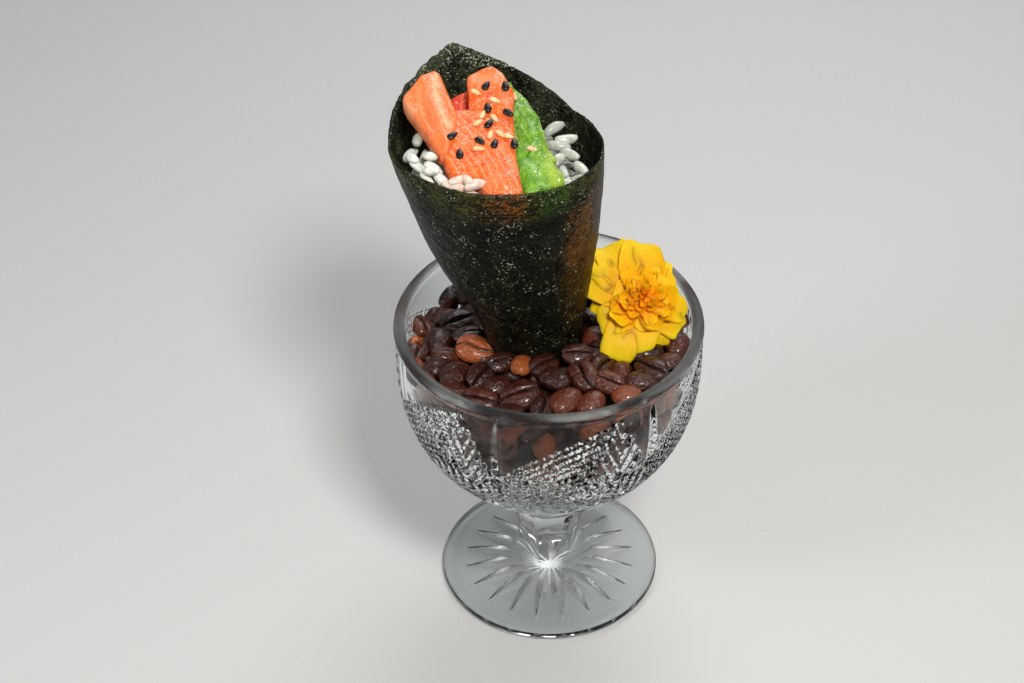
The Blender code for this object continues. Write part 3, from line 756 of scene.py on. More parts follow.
@dataclass
class Scatter:
    """Copies of one small shape, made by a tree of geometry nodes on a cloud of points."""

    name: str
    size: Triple
    finish: Material
    variation: float = 0.06
    seed: int = 1

    def tree(self) -> bpy.types.GeometryNodeTree:
        """The node tree: a copy of the shape at each point, turned and sized, then made real."""
        tree = bpy.data.node_groups.new(self.name + "_nodes", "GeometryNodeTree")
        face = tree.interface
        for title, kind in (
            ("Geometry", "Geometry"), ("Shape", "Object"), ("Length", "Float"), ("Width", "Float"),
            ("Thickness", "Float"), ("Variation", "Float"), ("Seed", "Int"), ("Finish", "Material"),
        ):
            face.new_socket(title, in_out="INPUT", socket_type="NodeSocket" + kind)
        face.new_socket("Geometry", in_out="OUTPUT", socket_type="NodeSocketGeometry")
        maker = NodeMaker(tree)
        given = maker.node("NodeGroupInput", {}, {}).outputs
        shape = maker.node("GeometryNodeObjectInfo", {}, {"Object": given["Shape"]}).outputs["Geometry"]
        angles = self.stored(maker, "turn", "FLOAT_VECTOR")
        turn = maker.node("FunctionNodeEulerToRotation", {}, {0: angles}).outputs[0]
        more = Signal(maker, given["Variation"])
        factor = self.chance(maker, 1 - more, 1 + more, given["Seed"]) * self.stored(maker, "size", "FLOAT")
        lengths = {"X": given["Length"], "Y": given["Width"], "Z": given["Thickness"]}
        box = maker.node("ShaderNodeCombineXYZ", {}, lengths).outputs[0]
        stretched = maker.node("ShaderNodeVectorMath", {"operation": "SCALE"}, {0: box, "Scale": factor})
        copies = maker.node(
            "GeometryNodeInstanceOnPoints", {},
            {"Points": given["Geometry"], "Instance": shape, "Rotation": turn, "Scale": stretched.outputs[0]},
        )
        real = maker.node("GeometryNodeRealizeInstances", {}, {"Geometry": copies.outputs[0]})
        sockets = {"Geometry": real.outputs[0], "Material": given["Finish"]}
        dressed = maker.node("GeometryNodeSetMaterial", {}, sockets)
        maker.node("NodeGroupOutput", {}, {"Geometry": dressed.outputs[0]})
        return tree

    @staticmethod
    def stored(maker: NodeMaker, name: str, kind: str) -> Signal:
        """A value that the cloud's points carry, by its name and data type."""
        made = maker.node("GeometryNodeInputNamedAttribute", {"data_type": kind}, {"Name": name})
        return Signal(maker, made.outputs[0])

    @staticmethod
    def chance(maker: NodeMaker, low: Signal, high: Signal, seed: NodeSocket) -> Signal:
        """A random number for each copy.

        Args:
            maker: The tree to add to.
            low: The least that it can be.
            high: The most that it can be.
            seed: The seed.

        Returns:
            The number.
        """
        made = maker.node("FunctionNodeRandomValue", {"data_type": "FLOAT"}, {"Seed": seed})
        for key, limit in (("Min", low), ("Max", high)):
            socket = next(socket for socket in made.inputs if socket.name == key and socket.enabled)
            maker.tree.links.new(limit.socket, socket)
        return Signal(maker, next(socket for socket in made.outputs if socket.enabled))

    def make(self, shape: Object, placings: Sequence[Placing]) -> Object:
        """Makes the copies into one plain mesh.

        Args:
            shape: The shape, one unit long, wide and thick.
            placings: Where the copies go.

        Returns:
            The object of all the copies, at the origin.
        """
        cloud = bpy.data.meshes.new(self.name + "_points")
        cloud.from_pydata([placing.place * MM for placing in placings], [], [])
        turns = [angle for placing in placings for angle in placing.turn.to_euler()]
        cloud.attributes.new("turn", "FLOAT_VECTOR", "POINT").data.foreach_set("vector", turns)
        for mark in ("size", "tone"):
            values = [getattr(placing, mark) for placing in placings]
            cloud.attributes.new(mark, "FLOAT", "POINT").data.foreach_set("value", values)
        made = bpy.data.objects.new(self.name, cloud)
        bpy.context.scene.collection.objects.link(made)
        modifier = made.modifiers.new("copies", "NODES")
        tree = self.tree()
        modifier.node_group = tree
        length, width, thickness = (side * MM for side in self.size)
        given = {
            "Shape": shape, "Length": length, "Width": width, "Thickness": thickness,
            "Variation": self.variation, "Seed": self.seed, "Finish": self.finish,
        }
        for item in tree.interface.items_tree:
            if item.in_out == "INPUT" and item.name in given:
                modifier[item.identifier] = given[item.name]
        graph = bpy.context.evaluated_depsgraph_get()
        mesh = bpy.data.meshes.new_from_object(
            made.evaluated_get(graph), preserve_all_data_layers=True, depsgraph=graph
        )
        mesh.name = self.name
        made.modifiers.clear()
        made.data = mesh
        if not mesh.materials:
            mesh.materials.append(self.finish)
        bpy.data.objects.remove(shape, do_unlink=True)
        return made


# Dish


@dataclass
class CutGlassDish:
    """The stemmed dish: rayed foot, six-sided stem, and a bowl with clear fans between swaths of hobnail."""

    rim_radius: float = 45.0
    rim_height: float = 99.75
    rim_bead: float = 1.75
    wall: float = 3.5
    foot_radius: float = 34.06
    collar_radius: float = 13.2
    collar_height: float = 32.0
    collar_flare: float = 0.55
    foot_lift: float = 0.25
    rim_frost: float = 1.6
    foot_frost: float = 0.8
    columns: int = 280
    fine_columns: int = 560
    bell_top: float = 90.0
    bell_floor: float = 31.4
    cavity_floor: float = 39.0
    bell_power: float = 2.74
    bell_squareness: float = 1.163
    fans: int = 6
    fan_bearing: float = -109.4
    fan_foot: float = 70.0
    fan_head: float = 96.0
    fan_left: float = 14.0
    fan_right: float = 50.0
    fan_depth: float = 0.62
    mitre_depth: float = 0.95
    mitre_width: float = 1.9
    block: float = 2.5
    block_depth: float = 0.85
    block_base: float = 0.1
    long_block: float = 3.4
    studs_fade: float = 68.0
    studs_end: float = 57.0
    streak_pitch: float = 2.4
    streak_turn: float = 30.0
    rays: int = 20
    ray_start: float = 2.5
    ray_end: float = 27.5
    ray_width: float = 3.8
    ray_depth: float = 1.25
    foot_edge: tuple[Station, ...] = ((32.9, 0.0), (33.6, 0.25), (34.0, 0.9), (34.0, 2.0), (33.7, 2.6))
    foot_top: tuple[Station, ...] = (
        (15.0, 5.6), (17.5, 4.7), (21.0, 4.0), (25.0, 3.5), (30.0, 3.2), (33.0, 3.0),
    )
    stem: tuple[Station, ...] = (
        (5.6, 15.0), (7.0, 12.8), (11.0, 10.4), (16.5, 9.3), (22.0, 9.5), (27.5, 11.0), (32.0, 13.2),
    )

    def bell(self, height: float, floor: float, radius: float) -> float:
        """Radius at a height of a bell curve that starts on the axis at a floor, for its radius on top."""
        share = min(max((height - floor) / (self.bell_top - floor), 0.0), 1.0)
        return radius * (1 - (1 - share) ** self.bell_power) ** (1 / self.bell_squareness)

    def cavity_radius(self, height: float) -> float:
        """Radius of the bowl's hollow at a height."""
        return self.bell(height, self.cavity_floor, self.rim_radius - self.wall)

    def hexagon(self, bearing: float, amount: float) -> float:
        """What a round stem's corner radius shrinks to at a bearing, for an amount of squareness."""
        across = (bearing - self.fan_bearing) % 60 - 30
        return 1 - amount * (1 - math.cos(math.radians(30)) / math.cos(math.radians(across)))

    def ray_relief(self, bearing: float, radius: float) -> float:
        """Depth of the lens-shaped grooves under the foot.

        Args:
            bearing: The bearing.
            radius: The distance from the axis.

        Returns:
            The depth there.
        """
        middle, half = (self.ray_start + self.ray_end) / 2, (self.ray_end - self.ray_start) / 2
        along = abs(radius - middle) / half
        if along >= 1:
            return 0.0
        pitch = 360 / self.rays
        across = abs(bearing % pitch - pitch / 2)
        distance = math.radians(across) * radius
        width = self.ray_width / 2 * (1 - along**2)
        return self.ray_depth * (1 - along**2) ** 0.7 * max(0.0, 1 - distance / width) if width > 0 else 0.0

    def cut_relief(self, bearing: float, height: float) -> float:
        """How far the cut pattern sinks into the bowl's outside.

        Args:
            bearing: The bearing.
            height: The height.

        Returns:
            The depth there.
        """
        lowest, highest = self.collar_height + 2, self.fan_head + 1.5
        if not lowest <= height <= highest:
            return 0.0
        edge = min(1.0, (highest - height) / 1.5, (height - lowest) / 3)
        rise = (height - self.fan_foot) / (self.fan_head - self.fan_foot)
        across = (bearing - self.fan_bearing + self.fan_left) % (360 / self.fans) - self.fan_left
        radius = self.bell(height, self.bell_floor, self.rim_radius)
        if rise > 0 and -self.fan_left * rise < across < self.fan_right * rise**2:
            return (self.fan_depth + self.mitre(across, rise, radius)) * edge
        low = smooth(height, self.studs_fade, self.studs_end)
        stud = self.stud(across, rise, height, low)
        stud += (self.streak(bearing, height) - stud) * low
        return (self.block_base + self.block_depth * (1 - stud)) * edge

    def mitre(self, across: float, rise: float, radius: float) -> float:
        """Depth of the pointed cut that runs up a clear window.

        Args:
            across: Degrees from the cut.
            rise: How far up the window, from 0 to 1.
            radius: The bowl's radius there.

        Returns:
            The depth.
        """
        if rise >= 1.05:
            return 0.0
        half = self.mitre_width * math.sin(math.pi * min(rise, 1.0)) ** 0.7 + 0.05
        distance = abs(across) * math.radians(1) * radius
        return self.mitre_depth * max(0.0, 1 - distance / half) * min(1.0, half)

    def stud(self, across: float, rise: float, height: float, low: float) -> float:
        """How far the glass stands up in the rows of studs, which follow the nearer window's edge.

        Args:
            across: Degrees from the cut of the window before.
            rise: How far up the windows, from 0 to 1.
            height: The height.
            low: How far the studs have given way to streaks, from 0 to 1.

        Returns:
            From 0 in a groove to 1 on a stud.
        """
        pitch = 360 / self.fans
        degree = math.radians(1) * max(self.bell(height, self.bell_floor, self.rim_radius), 24.0)
        next_edge = pitch - self.fan_left * max(rise, 0.0)
        behind = abs(next_edge - across if across > 0 else across - pitch + next_edge) * degree * 0.82
        row, run, bridge = behind / self.block, height / (self.long_block * self.block), 0.6
        if across > 0:
            before = abs(rise - (across / self.fan_right) ** 0.5) * (self.fan_head - self.fan_foot)
            if behind >= before * 0.9:
                row, bridge = before / self.block, 0.0
                run = (across * degree + 0.3 * height) / (self.block * (1.0 + 3.0 * low))
        notch = 2.6 * peak(run + 0.5 * math.floor(row))
        return min(1.0, 1.9 * peak(row)) * min(1.0, notch + bridge)

    def streak(self, bearing: float, height: float) -> float:
        """How far the glass stands up in the streaks round the bowl's lower part.

        Args:
            bearing: The bearing.
            height: The height.

        Returns:
            From 0 in a groove to 1 on a streak.
        """
        band = height / self.streak_pitch + 0.8 * math.sin(math.radians(2 * bearing + 40))
        ends = peak(bearing / self.streak_turn + 0.37 * math.floor(band))
        return min(1.0, 1.7 * peak(band)) * min(1.0, 3.0 * ends)

    def outer_ring(self, height: float) -> list[Point]:
        """The bowl's outside at a height."""
        collar = self.collar_radius + self.collar_flare * (height - self.collar_height)
        bowl = self.bell(height, self.bell_floor, self.rim_radius - 0.05)
        radius = max(bowl, min(collar, self.foot_radius))
        return self.ring(
            lambda bearing: radius - self.cut_relief(bearing, height), lambda bearing: height,
            self.fine_columns,
        )

    def round_ring(self, radius: float, height: float, columns: int = 0) -> list[Point]:
        """A round and level ring of points, of the usual count unless another is given."""
        return self.ring(lambda bearing: radius, lambda bearing: height, columns)

    def ring(
        self, radius: Callable[[float], float], height: Callable[[float], float], columns: int = 0,
    ) -> list[Point]:
        """A ring of points round the axis.

        Args:
            radius: The radius at a bearing.
            height: The height at a bearing.
            columns: How many points, if not the usual count.

        Returns:
            The points.
        """
        points = []
        columns = columns or self.columns
        for step in range(columns):
            bearing = self.fan_bearing + 360 * step / columns
            turn = math.radians(bearing)
            reach = radius(bearing)
            points.append((reach * math.cos(turn), reach * math.sin(turn), height(bearing)))
        return points

    def foot_rings(self) -> Rings:
        """The foot, from the middle of its underside out and over its edge to the stem."""
        rings: Rings = [[(0.0, 0.0, self.foot_lift)]]
        for number in range(37):
            radius = 2.0 + 0.8 * number
            lift = self.foot_lift * smooth(radius, 31.5, 29.5)
            rings.append(self.ring(
                lambda bearing, reach=radius: reach,
                lambda bearing, reach=radius, level=lift: level + self.ray_relief(bearing, reach),
            ))
        rings += [self.round_ring(radius, height) for radius, height in self.foot_edge]
        for number in range(24):
            radius = 33.0 - 18.0 * number / 23
            rings.append(self.round_ring(radius, between(self.foot_top, radius, 1)))
        return rings

    def stem_rings(self) -> Rings:
        """The six-sided stem, round where it meets the foot and the bowl."""
        rings: Rings = []
        for number in range(22):
            height = 6.2 + (31.6 - 6.2) * number / 21
            amount = smooth(height, 7.0, 17.0) * smooth(height, 34.0, 27.0)
            radius = between(self.stem, height, 1)
            rings.append(self.ring(
                lambda bearing, reach=radius, share=amount: reach * self.hexagon(bearing, share),
                lambda bearing, level=height: level,
            ))
        return rings

    def bowl_rings(self) -> Rings:
        """The bowl, up its outside, over the rim and down its inside to the middle."""
        rings: Rings = []
        height = 32.4
        while height < 97.4:
            rings.append(self.outer_ring(height))
            height += 0.44 if height < 44 else 0.56
        middle = self.rim_radius - self.rim_bead
        for slant in (0, 22, 45, 68, 90, 112, 135, 158, 180):
            turn = math.radians(slant)
            radius = middle + self.rim_bead * math.cos(turn)
            level = self.rim_height - self.rim_bead * (1 - math.sin(turn))
            rings.append(self.round_ring(radius, level, self.columns if slant == 180 else self.fine_columns))
        for number in range(1, 27):
            level = 97.0 - (97.0 - self.cavity_floor) * (number / 26) ** 0.62
            radius = self.cavity_radius(level)
            if radius > 2:
                rings.append(self.round_ring(radius, level))
        rings.append([(0.0, 0.0, self.cavity_floor)])
        return rings

    def frosted(self, point: Vector) -> float:
        """How matt the glass is at a point: on top of the rim and under the foot, and clear elsewhere."""
        reach = point.xy.length
        if point.z > self.rim_height - self.rim_frost:
            return 1.0
        if point.z > self.foot_lift + self.ray_depth - 0.1 or reach > 29.0:
            return 0.0
        return self.foot_frost * max(smooth(point.z, 0.3, 0.5), smooth(reach, 12.0, 8.0))

    def build(self) -> None:
        """Makes the dish."""
        rings = self.foot_rings() + self.stem_rings() + self.bowl_rings()
        skin = Skin.of_rings(rings, frost=[self.frosted(Vector(point)) for ring in rings for point in ring])
        hand_over(skin.make("dish", GlassFinish().material(), 32.0), Slot.GLASS, "glass")


# Nori cone


@dataclass
class NoriCone:
    """The rolled sheet, crinkled, with one end lapped over the other and a corner standing up at the back."""

    stations: tuple[Station, ...] = (
        (50.0, 3.4, -0.3), (72.0, 9.0, -2.4), (94.0, 14.4, -4.5), (108.0, 17.8, -6.0),
        (121.0, 22.2, -8.9), (140.0, 26.5, -11.3), (157.0, 29.3, -13.4), (180.0, 30.6, -15.5),
    )
    centre_y: float = 3.0
    tip: float = 50.0
    sheet: float = 0.5
    step: float = 0.7
    gap: float = 1.5
    seam: tuple[Station, ...] = (
        (50.0, -48.0), (94.0, -52.0), (117.0, -59.5), (133.0, -63.0), (141.0, -56.0), (157.0, -25.0),
    )
    mouth: float = 157.7
    tilt: float = 3.2
    corner_rise: float = 17.8
    corner_bearing: float = 113.0
    corner_spread: float = 67.0
    even_top: float = 140.0
    # Colours of the painted light that comes through the sheet.
    rice_light: Colour = (0.070, 0.070, 0.006)
    fish_light: Colour = (0.21, 0.045, 0.004)
    leaf_light: Colour = (0.035, 0.095, 0.004)
    seam_light: Colour = (0.170, 0.062, 0.007)
    columns: int = 300
    rows: int = 150
    inner_rows: int = 100

    def radius(self, height: float) -> float:
        """The roll's middle radius at a height."""
        return between(self.stations, height, 1)

    def inner_radius(self, height: float) -> float:
        """The radius of the sheet's inside at a height."""
        return self.radius(height) - self.sheet - self.step / 2

    def centre(self, height: float) -> Vector:
        """The roll's centre at a height, seen from above."""
        return Vector((between(self.stations, height, 2), self.centre_y))

    def seam_bearing(self, height: float) -> float:
        """The bearing of the sheet's free edge at a height."""
        for (low, before), (high, after) in zip(self.seam, self.seam[1:]):
            if height <= high:
                return before + (after - before) * (max(height, low) - low) / (high - low)
        return self.seam[-1][1]

    def mouth_height(self, bearing: float) -> float:
        """The height of the sheet's upper edge at a bearing."""
        tilt = self.tilt * math.cos(math.radians(bearing + 105.0))
        off = abs((bearing - self.corner_bearing + 180) % 360 - 180)
        return self.mouth + tilt + self.corner_rise * max(0.0, 1 - off / self.corner_spread)

    def thinness(self, bearing: float, height: float) -> tuple[float, Colour]:
        """How much light comes through the sheet, and what lies behind it.

        Args:
            bearing: The bearing.
            height: The height.

        Returns:
            The share of light, and the colour behind.
        """
        bearing = (bearing + 180) % 360 - 180
        edge = smooth(height, 149.0, 156.0) * smooth(abs(bearing + 90), 95.0, 60.0)
        fish = 0.85 * math.exp(-(((bearing + 84) / 13) ** 2))
        green = math.exp(-(((bearing + 60) / 13) ** 2))
        colour = blend(blend(self.rice_light, self.fish_light, fish), self.leaf_light, green)
        streak = smooth(bearing, -58.0, -44.0) * smooth(bearing, -5.0, -28.0)
        streak *= 0.35 + 0.65 * smooth(height, 118.0, 134.0)
        streak *= smooth(height, 92.0, 112.0) * smooth(height, 155.0, 148.0)
        return max(edge * 0.9, streak), self.seam_light if streak > edge else colour

    def surface_point(self, wrapped: float, row: float, outside: bool) -> tuple[Point, float, Colour]:
        """A point of the sheet.

        Args:
            wrapped: How far round the sheet, from 0 to 1.
            row: How far up, from 0 to 1.
            outside: Whether it is on the sheet's outside.

        Returns:
            The point, its thinness and the colour behind it.
        """
        height = self.tip + (self.mouth - self.tip) * row
        bearing = self.seam_bearing(height) + self.gap + (360 - self.gap) * wrapped
        share = (height - self.even_top) / (self.mouth - self.even_top)
        if share > 0:
            ragged = 0.35 * rough(wrapped * 90, 3.0, 0.0, 1.0)
            ragged += 0.2 * rough(wrapped * 260, 9.0, 0.0, 1.0)
            height = self.even_top + share * (self.mouth_height(bearing) + ragged - self.even_top)
        turn = math.radians(bearing)
        seat = min(1.0, height / self.even_top) ** 2
        wave = 0.25 * math.sin(math.radians(3 * bearing + 4 * height)) * seat
        radius = self.inner_radius(height) + wave
        place = (radius * math.cos(turn), radius * math.sin(turn), height)
        crumple = 0.42 * rough(*place, 11.0) * seat
        crumple += 0.20 * abs(rough(*place, 4.2)) + 0.10 * rough(*place, 1.8)
        corner = smooth(height, 160.0, 168.0)
        crumple += corner * (1.0 * rough(*place, 3.4) + 0.5 * rough(*place, 1.5))
        if outside:
            lift = smooth(wrapped, 0.955, 1.0) * (0.35 + 0.45 * rough(0.0, 7.0, height, 9.0))
            radius += self.sheet + self.step * wrapped + lift
            radius += 0.35 * smooth(wrapped, 0.06, 0.0) * rough(3.0, 0.0, height, 6.0)
        radius += crumple
        centre = self.centre(height)
        point = (centre.x + radius * math.cos(turn), centre.y + radius * math.sin(turn), height)
        return point, *self.thinness(bearing, height)

    def build(self) -> None:
        """Makes the sheet."""
        rings: Rings = []
        thin: list[float] = []
        behind: list[Colour] = []
        crumpled: list[float] = []
        order = [(row / self.rows, True) for row in range(self.rows + 1)]
        order += [(row / self.inner_rows, False) for row in range(self.inner_rows, 4, -1)]
        for row, outside in order:
            ring = []
            for step in range(self.columns):
                point, share, colour = self.surface_point(step / (self.columns - 1), row, outside)
                ring.append(point)
                thin.append(share if outside else 0.0)
                behind.append(colour)
                crumpled.append(max(smooth(point[2], 158.0, 167.0), 0.0 if outside else 0.5))
            rings.append(ring)
        skin = Skin.of_rings(rings, thin=thin, behind=behind, crumpled=crumpled)
        hand_over(skin.make("nori_sheet", NoriFinish().material()), Slot.NORI, "nori")


# Filling

BED_HEIGHT = 150.5
BED_SLOPE = 0.27

# How far in and how far under the top each ring of a strip's side lies; None is the strip's underside.
STRIP_EDGE = ((0.5, None), (0.0, None), (0.0, 2.0), (0.06, 1.1), (0.2, 0.55), (0.5, 0.2), (0.9, 0.04))

# How far out each ring of a strip's top lies, as a share of its rim.
STRIP_TOP = (0.93, 0.84, 0.74, 0.64, 0.54, 0.44, 0.34, 0.24, 0.14, 0.06)


@dataclass
class Strip:
    """A cut strip of filling that lies on the rice, with a soft upper edge."""

    name: str
    node: str
    outline: tuple[Point, ...]
    top: float
    slope: float
    thickness: float = 99.0
    stripe_bearing: float = 0.0
    stripe_pitch: float = 4.0
    fatness: float = 0.5
    # How deep red the flesh is, which on the inner strip is painted shade.
    deep_red_and_painted_shade: float = 0.3
    # How strong the painted highlights are, which stand for wet sparkle.
    speckle: float = 0.6
    ridge: Optional[tuple[float, float, float, float]] = None
    ridge_height: float = 0.0
    relief: float = 0.25
    crown: float = 0.0
    fat_lines: tuple[tuple[float, ...], ...] = ()
    corner_cut: float = 0.18
    room: float = 27.3
    rim: float = 0.9

    def border(self, cone: NoriCone, count: int = 150) -> list[Vector]:
        """The outline as a smooth closed curve of evenly stepped points, kept inside the cone.

        Args:
            cone: The rolled sheet round the filling.
            count: How many points.

        Returns:
            The points, seen from above.
        """
        corners: list[Vector] = []
        for (ax, ay), (bx, by) in zip(self.outline, self.outline[1:] + self.outline[:1]):
            for share in (self.corner_cut, 1 - self.corner_cut):
                corners.append(Vector((ax * (1 - share) + bx * share, ay * (1 - share) + by * share)))
        centre = cone.centre(BED_HEIGHT)
        kept = []
        for corner in corners:
            offset = corner - centre
            kept.append(centre + offset * min(1.0, self.room / offset.length))
        points = []
        for step in range(count):
            place = step / count * len(kept)
            here = int(place)
            share = place - here
            a, b, c, d = (kept[(here + k) % len(kept)] for k in (-1, 0, 1, 2))
            points.append(
                0.5 * (2 * b + (c - a) * share + (2 * a - 5 * b + 4 * c - d) * share**2
                       + (3 * b - a - 3 * c + d) * share**3)
            )
        return points

    def height(self, x: float, y: float) -> float:
        """The height of the strip's top, without its rounded edge."""
        level = self.top + self.slope * (y + 26.0)
        if self.ridge is not None:
            ax, ay, bx, by = self.ridge
            along = Vector((bx - ax, by - ay))
            normal = Vector((along.y, -along.x)).normalized()
            away = (Vector((x, y)) - Vector((ax, ay))).dot(normal)
            level += self.ridge_height * (math.exp(-abs(away) / 2.6) - 0.5)
        return level + self.relief * rough(x, y, 1.0, 3.6) + 0.4 * self.relief * rough(x, y, 5.0, 1.3)

    def build(self, cone: NoriCone, finish: Material, slot: Slot) -> None:
        """Makes the strip.

        Args:
            cone: The rolled sheet round it.
            finish: Its material.
            slot: The record's slot of that finish.
        """
        border = self.border(cone)
        count = len(border)
        middle = sum(border, Vector((0, 0))) / count
        area = sum(a.x * b.y - a.y * b.x for a, b in zip(border, border[1:] + border[:1]))
        if area < 0:
            border.reverse()
        inward = []
        for step in range(count):
            along = border[(step + 1) % count] - border[step - 1]
            inward.append(Vector((-along.y, along.x)).normalized())
        rings: Rings = []
        for inset, drop in STRIP_EDGE:
            ring = []
            for point, turn in zip(border, inward):
                at = point + turn * inset
                top = self.height(*at)
                bed = max(bed_plane(at.y), top - self.thickness) + (0.3 if inset else 0.9)
                level = bed if drop is None else max(bed + 0.5, top - drop)
                ring.append((*at, level))
            rings.append(ring)
        rim = [point + turn * self.rim for point, turn in zip(border, inward)]
        for share in STRIP_TOP:
            ring = []
            for point in rim:
                at = middle + (point - middle) * share
                ring.append((*at, self.height(*at) + self.crown * (1 - share**2)))
            rings.append(ring)
        rings.append([(*middle, self.height(*middle) + self.crown)])
        places = [Vector(point[:2]) for ring in rings for point in ring]
        skin = Skin.of_rings(rings, **self.marks(places, middle))
        hand_over(skin.make(self.name, finish, 75.0), slot, self.node)

    def marks(self, places: Sequence[Vector], middle: Vector) -> dict[str, Mark]:
        """What the finish reads at each point.

        Args:
            places: The points, seen from above.
            middle: The strip's middle.

        Returns:
            The place across the fat lines, how pale the flesh is, and what is the same all over.
        """
        turn = math.radians(self.stripe_bearing)
        across = Vector((-math.sin(turn), math.cos(turn)))
        along = Vector((math.cos(turn), math.sin(turn)))
        band = []
        for place in places:
            offset = place - middle
            band.append((offset.dot(across) + 0.012 * offset.dot(along) ** 2) / self.stripe_pitch)
        return {
            "band": band, "pale": [self.paleness(place) for place in places], "fatness": self.fatness,
            "deep": self.deep_red_and_painted_shade, "speckle": self.speckle,
        }

    def paleness(self, place: Vector) -> float:
        """How pale the flesh is at a place: the share of the strongest fat line there."""
        strongest = 0.0
        for ax, ay, bx, by, width, strength in self.fat_lines:
            start, along = Vector((ax, ay)), Vector((bx - ax, by - ay))
            share = min(max((place - start).dot(along) / along.length_squared, 0.0), 1.0)
            sideways = Vector((along.y, -along.x)).normalized() * 1.2 * math.sin(3.0 * share)
            away = (place - start - along * share - sideways).length
            strongest = max(strongest, strength * math.exp(-((away / width) ** 2)))
        return strongest


def bed_plane(y: float) -> float:
    """The height of the rice under the strips."""
    return BED_HEIGHT + BED_SLOPE * (y + 26.0)


def past_avocado(x: float, y: float) -> float:
    """How far a place is beyond the avocado's right side."""
    return x + 2.6 + 0.36 * y


def bed_height(x: float, y: float) -> float:
    """The height of the rice's top: a slope under the strips, lower beyond them."""
    beyond = max(0.0, past_avocado(x, y)) + max(0.0, y - 15.0)
    level = max(bed_plane(y) - 1.6 * beyond, min(149.5, bed_plane(y)))
    hollow_at_right = 12.0 * smooth(beyond, 8.0, 13.0)
    gap_between_strips = 9.0 * smooth(x, -31.0, -28.0) * smooth(x, -20.0, -22.0) * smooth(y, 3.0, 6.0)
    gap_at_left = 15.0 * smooth(x, -27.0, -31.0) * smooth(y, -10.5, -6.5)
    heap_in_front = 4.4 * smooth(x + 0.25 * y, -21.0, -25.0) * smooth(y, -7.0, -10.0)
    return level - hollow_at_right - gap_between_strips - gap_at_left + heap_in_front


def inside(point: Vector, outline: Sequence[Vector]) -> bool:
    """Whether a point lies inside an outline, both seen from above."""
    odd = False
    for a, b in zip(outline, list(outline[1:]) + [outline[0]]):
        if (a.y > point.y) == (b.y > point.y):
            continue
        if point.x < (b.x - a.x) * (point.y - a.y) / (b.y - a.y) + a.x:
            odd = not odd
    return odd


